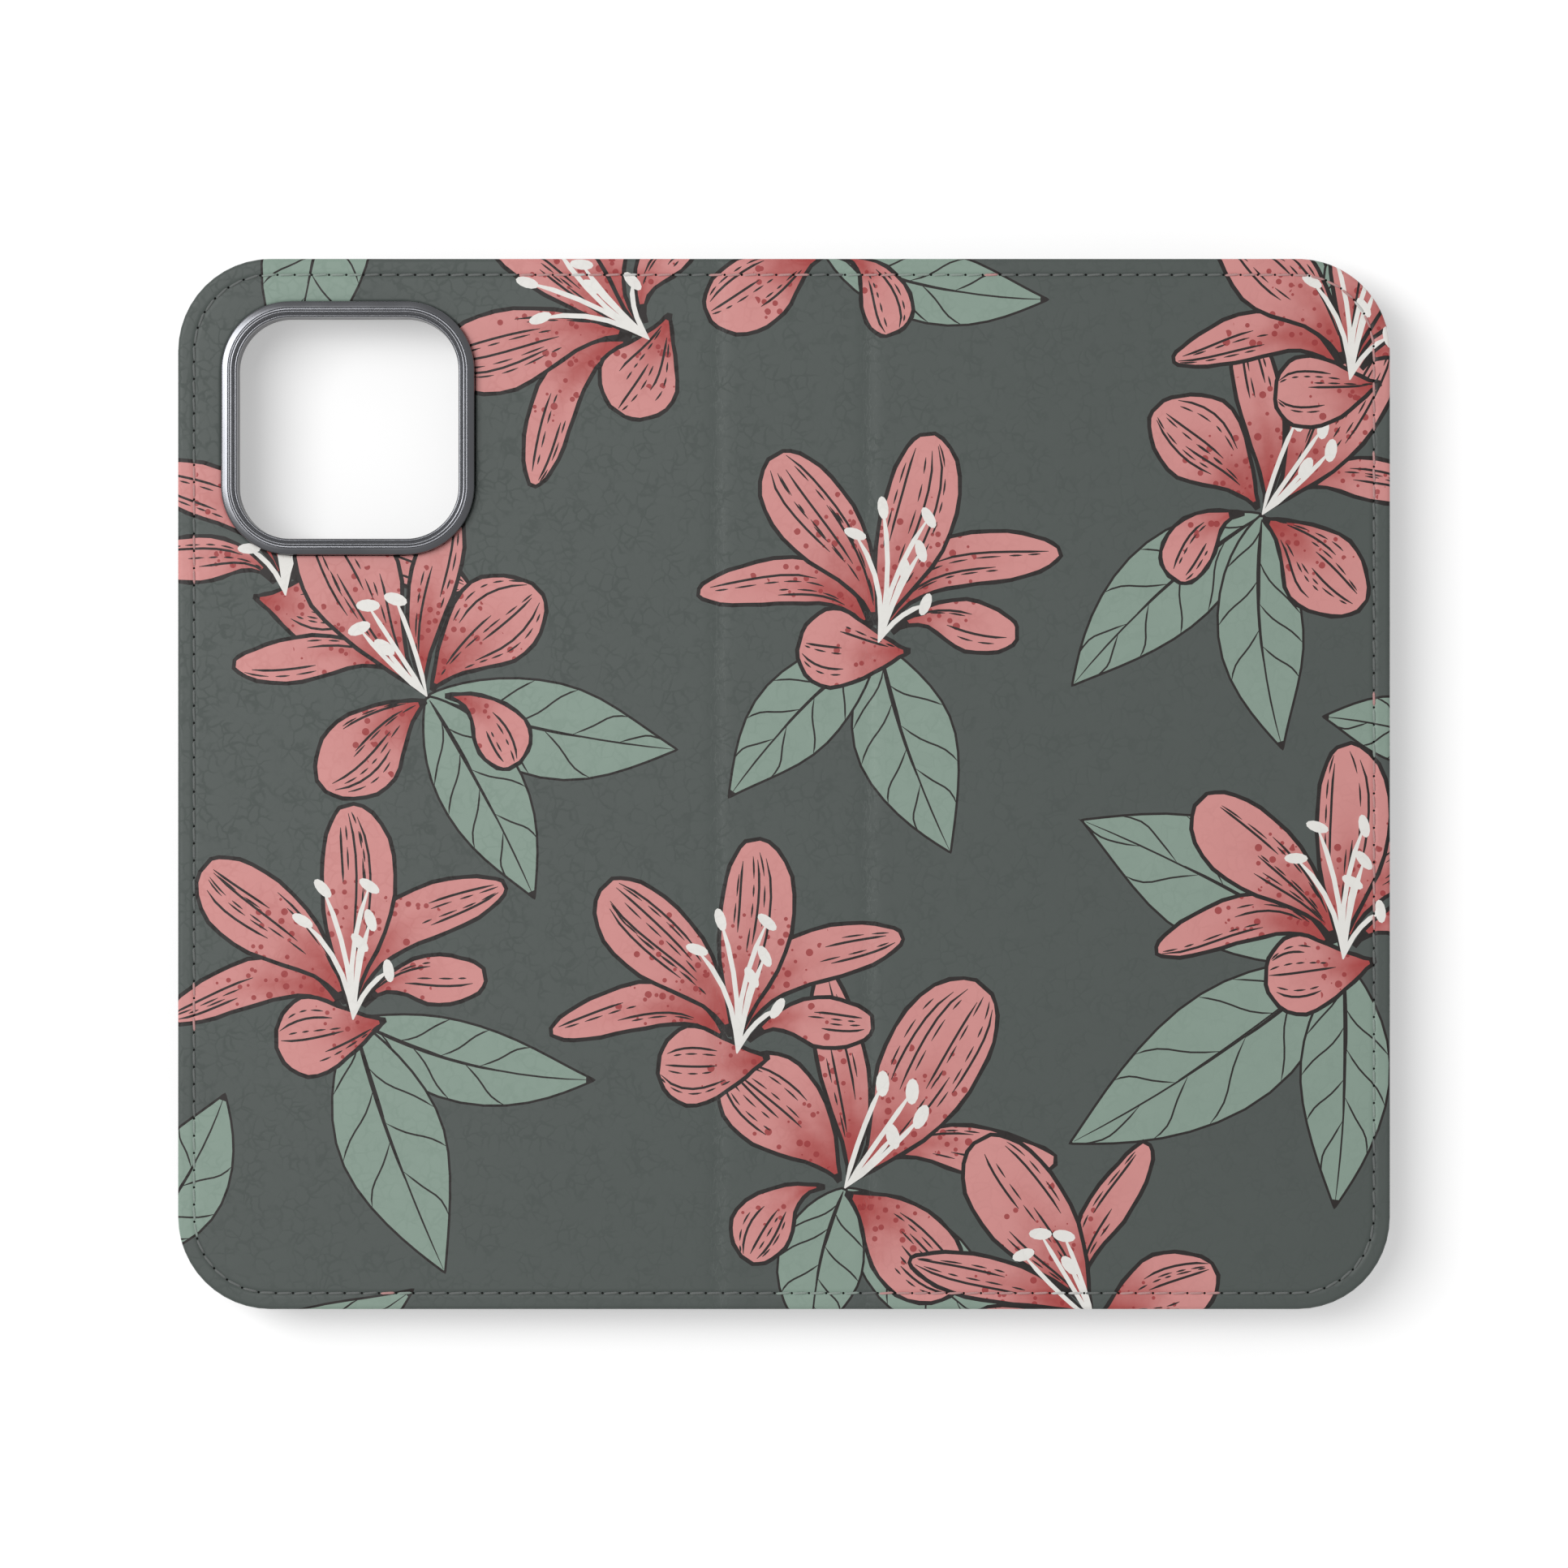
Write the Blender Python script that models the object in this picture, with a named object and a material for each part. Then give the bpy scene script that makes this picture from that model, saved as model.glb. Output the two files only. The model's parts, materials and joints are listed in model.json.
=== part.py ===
# Folio phone case, lying open with its outside up: a back cover that holds the phone in a hard tray,
# a spine, and a front cover with pockets. The tray's mouth rests on the ground, at Z = 0.
# +X runs from the back cover to the front cover, +Y to the end that the camera is at, +Z up.
import math

import bmesh
import bpy
from mathutils import Vector

MM = 0.001

# The whole case, open and flat
CASE_WIDTH = 180.0 * MM
CASE_HEIGHT = 156.0 * MM
CORNER_RADIUS = 13.7 * MM
BACK_CREASE_X = -9.8 * MM
FRONT_CREASE_X = 12.6 * MM

# Layers of the covers, each with a glue line to the next
GLUE_GAP = 0.1 * MM
SKIN_THICKNESS = 0.8 * MM
BOARD_THICKNESS = 1.0 * MM
LINING_THICKNESS = 0.5 * MM
PAD_THICKNESS = 0.3 * MM
PAD_INSET = 4.0 * MM
PAD_CORNER = 9.8 * MM
EDGE_SOFTNESS = 0.4 * MM
SKIN_GAP_AT_CREASE = 0.5 * MM
STACK_GAP_AT_CREASE = 2.4 * MM

# Phone that the tray is made for: height, width, thickness and corner radius
PHONE_HEIGHT = 146.7 * MM
PHONE_WIDTH = 71.5 * MM
PHONE_DEPTH = 7.65 * MM
PHONE_CORNER = 11.8 * MM

# Openings in the tray's walls: the volume keys, the side key, and the socket with the speakers
KEY_PORTS_Y = {"volume": (7.0 * MM, 47.0 * MM), "power": (13.0 * MM, 37.0 * MM)}
SOCKET_PORT_WIDTH = 44.0 * MM

# Tray
PHONE_CLEARANCE = 0.2 * MM
DEPTH_CLEARANCE = 0.1 * MM
WALL = 1.3 * MM
LIP_HEIGHT = 0.9 * MM
LIP_OVERHANG = 0.8 * MM
FLOOR_THICKNESS = 1.15 * MM
SEAT_RISE = 0.2 * MM
SEAT_INSET = 3.5 * MM
TRAY_EDGE_MARGIN = 2.6 * MM
TRAY_TOP_ROUNDING = 1.2 * MM
TRAY_RIM_ROUNDING = 0.3 * MM
PORT_BOTTOM = 2.4 * MM
PORT_TOP = 7.4 * MM
PORT_ROUNDING = 2.2 * MM

# Camera guard, a raised square ring with round corners
GUARD_CENTRE = (-64.7 * MM, 52.8 * MM)
GUARD_SIZE = 37.6 * MM
GUARD_CORNER = 10.2 * MM
GUARD_WALL = 2.4 * MM
GUARD_STAND = 1.6 * MM
GUARD_ROUNDING = 0.7 * MM
SPIGOT_OVERLAP = 0.5 * MM
SPIGOT_WALL = 1.3 * MM
FIT_GAP = 0.3 * MM

# Stitching
STITCH_INSET = 2.4 * MM
THREAD_RADIUS = 0.18 * MM
THREAD_LIFT = 0.05 * MM
SEAM_CHANNEL_WIDTH = 0.8 * MM
SEAM_CHANNEL_DEPTH = 0.45 * MM
THREAD_GAP_OUTSIDE = 1.0 * MM
THREAD_GAP_INSIDE = 2.8 * MM

# Closure: flat magnets in the front board, steel keepers in the back board
BAR_WIDTH = 6.0 * MM
BAR_LENGTH = 36.0 * MM
BAR_THICKNESS = 0.8 * MM
BAR_CORNER = 1.0 * MM
BAR_EDGE_INSET = 3.9 * MM
BAR_CENTRES_Y = {"upper": 10.0 * MM, "lower": -40.0 * MM}

# Pockets inside the front cover, each a panel sewn down on three sides with its mouth to the spine
PANEL_THICKNESS = 0.4 * MM
POCKET_SPACE = 0.3 * MM
POCKET_SEAM = 4.0 * MM
POCKET_FAR_EDGE = 84.5 * MM
POCKET_CORNER = 5.0 * MM
CASH_POCKET_MOUTH = 20.6 * MM
CASH_POCKET_HEIGHT = 142.0 * MM
CARD_POCKET_MOUTHS = (26.0 * MM, 34.5 * MM, 43.0 * MM)
CARD_POCKET_HEIGHT = 96.0 * MM
THUMB_NOTCH_RADIUS = 8.0 * MM
THUMB_NOTCH_SETBACK = 2.7 * MM

CORNER_STEPS = 10
THREAD_CORNER_STEPS = 8
RIM_STEPS = 3
NOTCH_SIDES = 32
SAME_PLACE = 1e-7
OVERCUT = 1.0 * MM

# Levels, worked out from the tray's mouth at Z = 0 upwards
SEAT_Z = LIP_HEIGHT + PHONE_DEPTH + DEPTH_CLEARANCE
CAVITY_TOP = SEAT_Z + SEAT_RISE
TRAY_TOP = CAVITY_TOP + FLOOR_THICKNESS
PAD_BOTTOM = TRAY_TOP + GLUE_GAP
LINING_BOTTOM = PAD_BOTTOM + PAD_THICKNESS + GLUE_GAP
BOARD_BOTTOM = LINING_BOTTOM + LINING_THICKNESS + GLUE_GAP
SKIN_BOTTOM = BOARD_BOTTOM + BOARD_THICKNESS + GLUE_GAP
SKIN_TOP = SKIN_BOTTOM + SKIN_THICKNESS
HINGE_Z = SKIN_TOP - SKIN_THICKNESS / 2

EDGE_X = CASE_WIDTH / 2
EDGE_Y = CASE_HEIGHT / 2
STACK_INSET = SKIN_THICKNESS + GLUE_GAP
TRAY_WIDTH = PHONE_WIDTH + 2 * (PHONE_CLEARANCE + WALL)
TRAY_HEIGHT = PHONE_HEIGHT + 2 * (PHONE_CLEARANCE + WALL)
TRAY_CENTRE_X = -EDGE_X + TRAY_EDGE_MARGIN + TRAY_WIDTH / 2
CAVITY_HALF_X = PHONE_WIDTH / 2 + PHONE_CLEARANCE
CAVITY_HALF_Y = PHONE_HEIGHT / 2 + PHONE_CLEARANCE

for old in list(bpy.data.objects):
    bpy.data.objects.remove(old, do_unlink=True)

case = bpy.data.collections.new("phone_case")
cutters = bpy.data.collections.new("cutters")
bpy.context.scene.collection.children.link(case)
bpy.context.scene.collection.children.link(cutters)


def make_material(name, colour, roughness, metallic=0.0):
    material = bpy.data.materials.new(name)
    material.use_nodes = True
    shader = material.node_tree.nodes["Principled BSDF"]
    shader.inputs["Base Color"].default_value = (*colour, 1.0)
    shader.inputs["Roughness"].default_value = roughness
    shader.inputs["Metallic"].default_value = metallic
    return material


printed_skin = make_material("printed_skin", (0.095, 0.115, 0.105), 0.55)
plain_lining = make_material("plain_lining", (0.020, 0.022, 0.024), 0.60)
grey_board = make_material("grey_board", (0.300, 0.290, 0.270), 0.90)
green_thread = make_material("green_thread", (0.130, 0.150, 0.140), 0.70)
tray_plastic = make_material("tray_plastic", (0.030, 0.031, 0.034), 0.35)
guard_plastic = make_material("guard_plastic", (0.115, 0.125, 0.145), 0.15)
pad_film = make_material("pad_film", (0.550, 0.550, 0.530), 0.70)
keeper_steel = make_material("keeper_steel", (0.560, 0.560, 0.570), 0.35, 1.0)
magnet_nickel = make_material("magnet_nickel", (0.640, 0.630, 0.610), 0.25, 1.0)


def make_joint_frame(name, parent, location):
    empty = bpy.data.objects.new(name, None)
    empty.empty_display_size = 0.01
    case.objects.link(empty)
    if parent is not None:
        empty.parent = parent
        location = Vector(location) - world_place(parent)
    empty.location = location
    return empty


def world_place(empty):
    place = Vector(empty.location)
    while empty.parent is not None:
        empty = empty.parent
        place += empty.location
    return place


# Each moving cover hangs on an empty that lies on its crease.
back_cover = make_joint_frame("back_cover_frame", None, (0.0, 0.0, 0.0))
spine = make_joint_frame("spine_frame", back_cover, (BACK_CREASE_X, 0.0, HINGE_Z))
front_cover = make_joint_frame("front_cover_frame", spine, (FRONT_CREASE_X, 0.0, HINGE_Z))


def finish(obj, frame, material, centre):
    obj.parent = frame
    obj.location = Vector(centre) - world_place(frame)
    obj.data.materials.append(material)
    case.objects.link(obj)
    return obj


def slab_mesh(name, size, corner=0.0, sides="both", axis=2, soft_top=0.0, soft_bottom=0.0):
    # A box about its own centre. The edges along axis get round corners on the low side, the high side
    # or both sides of X, and the rims at top and bottom are softened except on a cut side.
    mesh_builder = bmesh.new()
    bmesh.ops.create_cube(mesh_builder, size=1.0)
    bmesh.ops.scale(mesh_builder, vec=size, verts=mesh_builder.verts)
    if corner > 0.0:
        first = (axis + 1) % 3 if axis != 2 else 0
        corner_edges = []
        for edge in mesh_builder.edges:
            a, b = (v.co for v in edge.verts)
            along = abs((a - b)[axis]) > size[axis] / 2
            wanted = {"both": True, "low": a[first] < 0.0, "high": a[first] > 0.0}[sides]
            if along and wanted:
                corner_edges.append(edge)
        bmesh.ops.bevel(mesh_builder, geom=corner_edges, offset=corner, offset_type="OFFSET",
                        segments=CORNER_STEPS, profile=0.5, affect="EDGES", material=-1)
    for softness, level in ((soft_top, size[2] / 2), (soft_bottom, -size[2] / 2)):
        if softness > 0.0:
            rim = [e for e in mesh_builder.edges if on_soft_rim(e, level, size, sides)]
            bmesh.ops.bevel(mesh_builder, geom=rim, offset=softness, offset_type="OFFSET",
                            segments=RIM_STEPS, profile=0.5, affect="EDGES", material=-1)
    mesh = bpy.data.meshes.new(name)
    mesh_builder.to_mesh(mesh)
    mesh_builder.free()
    return mesh


def on_soft_rim(edge, level, size, sides):
    a, b = (v.co for v in edge.verts)
    if abs(a.z - level) > SAME_PLACE or abs(b.z - level) > SAME_PLACE:
        return False
    cut_side = {"both": None, "low": size[0] / 2, "high": -size[0] / 2}[sides]
    if cut_side is None:
        return True
    return abs(a.x - cut_side) > SAME_PLACE or abs(b.x - cut_side) > SAME_PLACE


def spans(x, y, z):
    centre = Vector(((x[0] + x[1]) / 2, (y[0] + y[1]) / 2, (z[0] + z[1]) / 2))
    size = Vector((x[1] - x[0], y[1] - y[0], z[1] - z[0]))
    return centre, size


def add_slab(name, frame, material, x, y, z, **shape):
    centre, size = spans(x, y, z)
    obj = bpy.data.objects.new(name, slab_mesh(name, size, **shape))
    return finish(obj, frame, material, centre)


def add_cutter(name, x, y, z, **shape):
    centre, size = spans(x, y, z)
    cutter = bpy.data.objects.new(name, slab_mesh(name, size, **shape))
    return hide_cutter(cutter, centre)


def hide_cutter(cutter, centre):
    cutter.location = centre
    cutter.hide_render = True
    cutter.display_type = "WIRE"
    cutters.objects.link(cutter)
    return cutter


def combine(obj, other, operation="DIFFERENCE"):
    boolean = obj.modifiers.new(other.name, "BOOLEAN")
    boolean.operation = operation
    boolean.solver = "EXACT"
    boolean.object = other


def square_about(centre, size, z):
    half = size / 2
    return (centre[0] - half, centre[0] + half), (centre[1] - half, centre[1] + half), z


# The window that the camera guard comes up through, cut in every layer over the tray
window_size = GUARD_SIZE + 2 * FIT_GAP
window_z = (TRAY_TOP + GLUE_GAP / 2, SKIN_TOP + OVERCUT)
window_cutter = add_cutter("camera_window_cutter", *square_about(GUARD_CENTRE, window_size, window_z),
                           corner=GUARD_CORNER + FIT_GAP)

SECTIONS = {
    "back": {"frame": back_cover, "sides": "low", "x": (-EDGE_X, BACK_CREASE_X), "cut": (0, 1)},
    "spine": {"frame": spine, "sides": None, "x": (BACK_CREASE_X, FRONT_CREASE_X), "cut": (1, 1)},
    "front": {"frame": front_cover, "sides": "high", "x": (FRONT_CREASE_X, EDGE_X), "cut": (1, 0)},
}


def section_span(section, edge_inset, crease_gap):
    # The X span of one layer: in from the free edge, and back from each crease.
    low, high = section["x"]
    at_crease = section["cut"]
    low += crease_gap if at_crease[0] else edge_inset
    high -= crease_gap if at_crease[1] else edge_inset
    return low, high


def rounded_for(section, radius):
    if section["sides"] is None:
        return {"corner": 0.0, "sides": "both"}
    return {"corner": radius, "sides": section["sides"]}


def add_skin(name, section):
    # The skin lies over the board and turns down over its edge.
    x = section_span(section, 0.0, SKIN_GAP_AT_CREASE)
    shape = rounded_for(section, CORNER_RADIUS)
    softness = EDGE_SOFTNESS if section["sides"] else 0.0
    skin = add_slab(f"{name}_skin", section["frame"], printed_skin, x, (-EDGE_Y, EDGE_Y),
                    (LINING_BOTTOM, SKIN_TOP), soft_top=softness, **shape)
    inside = section_span(section, SKIN_THICKNESS, -OVERCUT)
    hollow_shape = rounded_for(section, CORNER_RADIUS - SKIN_THICKNESS)
    half_y = EDGE_Y - SKIN_THICKNESS
    combine(skin, add_cutter(f"{name}_skin_hollow_cutter", inside, (-half_y, half_y),
                             (LINING_BOTTOM - OVERCUT, SKIN_BOTTOM), **hollow_shape))
    for side, crease in zip(section["cut"], section["x"]):
        if side:
            channel = (crease - STACK_GAP_AT_CREASE, crease + STACK_GAP_AT_CREASE)
            combine(skin, add_cutter(f"{name}_channel_cutter_{round(crease / MM)}", channel,
                                     (-EDGE_Y - OVERCUT, EDGE_Y + OVERCUT),
                                     (LINING_BOTTOM - OVERCUT, SKIN_BOTTOM)))
    add_seam_channel(name, section, skin)
    return skin


def add_seam_channel(name, section, skin):
    # The seam lies in a shallow channel along the free edges: a slab less a smaller one inside it.
    channel = add_seam_slab(f"{name}_seam_cutter", section, STITCH_INSET - SEAM_CHANNEL_WIDTH / 2, OVERCUT)
    island = add_seam_slab(f"{name}_seam_island", section, STITCH_INSET + SEAM_CHANNEL_WIDTH / 2, 2 * OVERCUT)
    combine(channel, island)
    combine(skin, channel)


def add_seam_slab(name, section, inset, reach):
    # The reach is how far it runs past the creases and the faces, more for the island than the channel.
    half_y = EDGE_Y - inset
    z = (SKIN_TOP - SEAM_CHANNEL_DEPTH + OVERCUT - reach, SKIN_TOP + reach)
    return add_cutter(name, section_span(section, inset, -reach), (-half_y, half_y), z,
                      **rounded_for(section, CORNER_RADIUS - inset))


def add_layer(name, layer, section, material, z):
    x = section_span(section, STACK_INSET, STACK_GAP_AT_CREASE)
    half_y = EDGE_Y - STACK_INSET
    return add_slab(f"{name}_{layer}", section["frame"], material, x, (-half_y, half_y), z,
                    **rounded_for(section, CORNER_RADIUS - STACK_INSET))


def add_thread(name, frame, points, z):
    curve = bpy.data.curves.new(name, "CURVE")
    curve.dimensions = "3D"
    curve.bevel_depth = THREAD_RADIUS
    curve.bevel_resolution = 1
    curve.use_fill_caps = True
    spline = curve.splines.new("POLY")
    spline.points.add(len(points) - 1)
    origin = world_place(frame)
    for point, (x, y) in zip(spline.points, points):
        point.co = (*(Vector((x, y, z)) - origin), 1.0)
    thread = bpy.data.objects.new(name, curve)
    return finish(thread, frame, green_thread, origin)


def cover_run(section, crease_gap):
    # Round the three free sides of a cover, from crease to crease, parallel to its edge.
    toward = -1 if section["sides"] == "low" else 1
    crease = section["x"][1] if toward < 0 else section["x"][0]
    start_x = crease + toward * crease_gap
    arc_x = toward * (EDGE_X - CORNER_RADIUS)
    arc_y = EDGE_Y - CORNER_RADIUS
    radius = CORNER_RADIUS - STITCH_INSET
    points = [(start_x, EDGE_Y - STITCH_INSET)]
    for side in (1, -1):
        for step in range(THREAD_CORNER_STEPS + 1):
            turn = step / THREAD_CORNER_STEPS
            angle = math.pi / 2 * (1 - turn if side > 0 else turn)
            points.append((arc_x + toward * radius * math.cos(angle),
                           side * (arc_y + radius * math.sin(angle))))
    points.append((start_x, -EDGE_Y + STITCH_INSET))
    return points


def spine_run(side, crease_gap):
    y = side * (EDGE_Y - STITCH_INSET)
    return [(BACK_CREASE_X + crease_gap, y), (FRONT_CREASE_X - crease_gap, y)]


# Skins, boards and linings of the three sections
built = {}
for name, section in SECTIONS.items():
    built[name] = {
        "skin": add_skin(name, section),
        "board": add_layer(name, "board", section, grey_board, (BOARD_BOTTOM, SKIN_BOTTOM - GLUE_GAP)),
        "lining": add_layer(name, "lining", section, plain_lining, (LINING_BOTTOM, BOARD_BOTTOM - GLUE_GAP)),
    }
for layer in built["back"].values():
    combine(layer, window_cutter)

# Lockstitch seams: the outer thread lies in the skin's channel, the inner one on the lining.
outer_thread_z = SKIN_TOP - SEAM_CHANNEL_DEPTH + THREAD_LIFT + THREAD_RADIUS
inner_thread_z = LINING_BOTTOM - THREAD_LIFT - THREAD_RADIUS
for name in ("back", "front"):
    section = SECTIONS[name]
    outer_run = cover_run(section, THREAD_GAP_OUTSIDE)
    inner_run = cover_run(section, THREAD_GAP_INSIDE)
    add_thread(f"{name}_outer_thread", section["frame"], outer_run, outer_thread_z)
    add_thread(f"{name}_inner_thread", section["frame"], inner_run, inner_thread_z)
for end, side in (("top", 1), ("bottom", -1)):
    add_thread(f"spine_outer_thread_{end}", spine, spine_run(side, THREAD_GAP_OUTSIDE), outer_thread_z)
    add_thread(f"spine_inner_thread_{end}", spine, spine_run(side, THREAD_GAP_INSIDE), inner_thread_z)


def add_closure_bars(section_name, bar_name, material):
    # Two flat bars near the free edge, each let into a slot through the board.
    section = SECTIONS[section_name]
    toward = -1 if section["sides"] == "low" else 1
    outer = toward * (EDGE_X - BAR_EDGE_INSET)
    inner = outer - toward * BAR_WIDTH
    x = (min(outer, inner), max(outer, inner))
    board_middle = BOARD_BOTTOM + BOARD_THICKNESS / 2
    z = (board_middle - BAR_THICKNESS / 2, board_middle + BAR_THICKNESS / 2)
    for place, centre_y in BAR_CENTRES_Y.items():
        y = (centre_y - BAR_LENGTH / 2, centre_y + BAR_LENGTH / 2)
        add_slab(f"{bar_name}_{place}", section["frame"], material, x, y, z, corner=BAR_CORNER)
        slot = add_cutter(f"{section_name}_slot_cutter_{place}", (x[0] - FIT_GAP, x[1] + FIT_GAP),
                          (y[0] - FIT_GAP, y[1] + FIT_GAP),
                          (BOARD_BOTTOM - GLUE_GAP / 2, SKIN_BOTTOM - GLUE_GAP / 2), corner=BAR_CORNER)
        combine(built[section_name]["board"], slot)


add_closure_bars("back", "steel_keeper", keeper_steel)
add_closure_bars("front", "closure_magnet", magnet_nickel)


def tray_span(half_x, half_y):
    return (TRAY_CENTRE_X - half_x, TRAY_CENTRE_X + half_x), (-half_y, half_y)


def add_tray():
    tray = add_slab("phone_tray", back_cover, tray_plastic, *tray_span(TRAY_WIDTH / 2, TRAY_HEIGHT / 2),
                    (0.0, TRAY_TOP), corner=PHONE_CORNER + PHONE_CLEARANCE + WALL,
                    soft_top=TRAY_TOP_ROUNDING, soft_bottom=TRAY_RIM_ROUNDING)
    cavity = add_cutter("tray_cavity_cutter", *tray_span(CAVITY_HALF_X, CAVITY_HALF_Y),
                        (LIP_HEIGHT, CAVITY_TOP), corner=PHONE_CORNER + PHONE_CLEARANCE)
    raise_seat(cavity.data)
    combine(tray, cavity)
    mouth_x = CAVITY_HALF_X - LIP_OVERHANG
    mouth_y = CAVITY_HALF_Y - LIP_OVERHANG
    combine(tray, add_cutter("tray_mouth_cutter", *tray_span(mouth_x, mouth_y),
                             (-OVERCUT, LIP_HEIGHT + OVERCUT),
                             corner=PHONE_CORNER + PHONE_CLEARANCE - LIP_OVERHANG))
    spigot_hole = GUARD_SIZE - 2 * (GUARD_WALL - SPIGOT_WALL) + 2 * FIT_GAP
    combine(tray, add_cutter("tray_window_cutter",
                             *square_about(GUARD_CENTRE, spigot_hole, (SEAT_Z - OVERCUT, TRAY_TOP + OVERCUT)),
                             corner=GUARD_CORNER - (GUARD_WALL - SPIGOT_WALL) + FIT_GAP))
    for port in tray_ports():
        combine(tray, port)
    return tray


def raise_seat(mesh):
    # The cavity's roof steps down by the seat's rise inside a margin, so the tray's floor has a flat seat.
    mesh_builder = bmesh.new()
    mesh_builder.from_mesh(mesh)
    roof = max(mesh_builder.faces, key=lambda face: face.calc_center_median().z)
    bmesh.ops.inset_individual(mesh_builder, faces=[roof], thickness=SEAT_INSET)
    bmesh.ops.inset_individual(mesh_builder, faces=[roof], thickness=SEAT_RISE)
    bmesh.ops.translate(mesh_builder, vec=(0.0, 0.0, -SEAT_RISE), verts=roof.verts)
    mesh_builder.to_mesh(mesh)
    mesh_builder.free()


def tray_ports():
    # Openings for the side buttons and for the socket and speakers, round-ended along the wall.
    near_spine = TRAY_CENTRE_X + CAVITY_HALF_X
    near_edge = TRAY_CENTRE_X - CAVITY_HALF_X
    height = (PORT_BOTTOM, PORT_TOP)
    volume = add_cutter("volume_port_cutter", (near_spine - OVERCUT, near_spine + WALL + OVERCUT),
                        KEY_PORTS_Y["volume"], height, corner=PORT_ROUNDING, axis=0)
    power = add_cutter("power_port_cutter", (near_edge - WALL - OVERCUT, near_edge + OVERCUT),
                       KEY_PORTS_Y["power"], height, corner=PORT_ROUNDING, axis=0)
    socket_x = (TRAY_CENTRE_X - SOCKET_PORT_WIDTH / 2, TRAY_CENTRE_X + SOCKET_PORT_WIDTH / 2)
    socket = add_cutter("socket_port_cutter", socket_x,
                        (-CAVITY_HALF_Y - WALL - OVERCUT, -CAVITY_HALF_Y + OVERCUT),
                        height, corner=PORT_ROUNDING, axis=1)
    return volume, power, socket


def add_guard():
    # A ring that stands proud of the skin, with a thinner spigot down through the tray's window.
    top = SKIN_TOP + GUARD_STAND
    seat = TRAY_TOP + FIT_GAP
    guard = add_slab("camera_guard", back_cover, guard_plastic,
                     *square_about(GUARD_CENTRE, GUARD_SIZE, (seat, top)),
                     corner=GUARD_CORNER, soft_top=GUARD_ROUNDING)
    step = GUARD_WALL - SPIGOT_WALL
    spigot_z = (CAVITY_TOP, seat + SPIGOT_OVERLAP)
    combine(guard, add_cutter("guard_spigot", *square_about(GUARD_CENTRE, GUARD_SIZE - 2 * step, spigot_z),
                              corner=GUARD_CORNER - step), "UNION")
    combine(guard, add_cutter("guard_bore_cutter",
                              *square_about(GUARD_CENTRE, GUARD_SIZE - 2 * GUARD_WALL,
                                            (SEAT_Z - OVERCUT, top + OVERCUT)),
                              corner=GUARD_CORNER - GUARD_WALL))
    return guard


def add_pad():
    # Glue pad that bonds the tray's back to the lining.
    pad = add_slab("glue_pad", back_cover, pad_film,
                   *tray_span(TRAY_WIDTH / 2 - PAD_INSET, TRAY_HEIGHT / 2 - PAD_INSET),
                   (PAD_BOTTOM, PAD_BOTTOM + PAD_THICKNESS), corner=PAD_CORNER)
    combine(pad, window_cutter)
    return pad


def add_pocket(name, mouth, height, top, notch):
    # A panel with a seam margin on three sides. The space inside the margin is open at the mouth.
    x = (mouth, POCKET_FAR_EDGE)
    half = height / 2
    panel_top = top - POCKET_SPACE
    pocket = add_slab(name, front_cover, plain_lining, x, (-half, half),
                      (panel_top - PANEL_THICKNESS, top), corner=POCKET_CORNER, sides="high")
    combine(pocket, add_cutter(f"{name}_space_cutter", (mouth - OVERCUT, POCKET_FAR_EDGE - POCKET_SEAM),
                               (-half + POCKET_SEAM, half - POCKET_SEAM), (panel_top, top + OVERCUT)))
    if notch:
        combine(pocket, add_notch_cutter(f"{name}_notch_cutter", mouth, panel_top))


def add_notch_cutter(name, mouth, level):
    mesh_builder = bmesh.new()
    bmesh.ops.create_cone(mesh_builder, cap_ends=True, segments=NOTCH_SIDES, radius1=THUMB_NOTCH_RADIUS,
                          radius2=THUMB_NOTCH_RADIUS, depth=4 * PANEL_THICKNESS)
    mesh = bpy.data.meshes.new(name)
    mesh_builder.to_mesh(mesh)
    mesh_builder.free()
    return hide_cutter(bpy.data.objects.new(name, mesh), (mouth - THUMB_NOTCH_SETBACK, 0.0, level))


add_tray()
add_guard()
add_pad()

# Each pocket lies under the one before, a glue line away.
pocket_top = LINING_BOTTOM - GLUE_GAP
pocket_pitch = PANEL_THICKNESS + POCKET_SPACE + GLUE_GAP
add_pocket("cash_pocket", CASH_POCKET_MOUTH, CASH_POCKET_HEIGHT, pocket_top, False)
for number, mouth in enumerate(CARD_POCKET_MOUTHS, start=1):
    add_pocket(f"card_pocket_{number}", mouth, CARD_POCKET_HEIGHT, pocket_top - number * pocket_pitch, True)
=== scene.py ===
import json
import math
import random

import bmesh
import bpy
import numpy as np
from mathutils import Matrix, Vector
from mathutils.geometry import delaunay_2d_cdt


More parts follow.
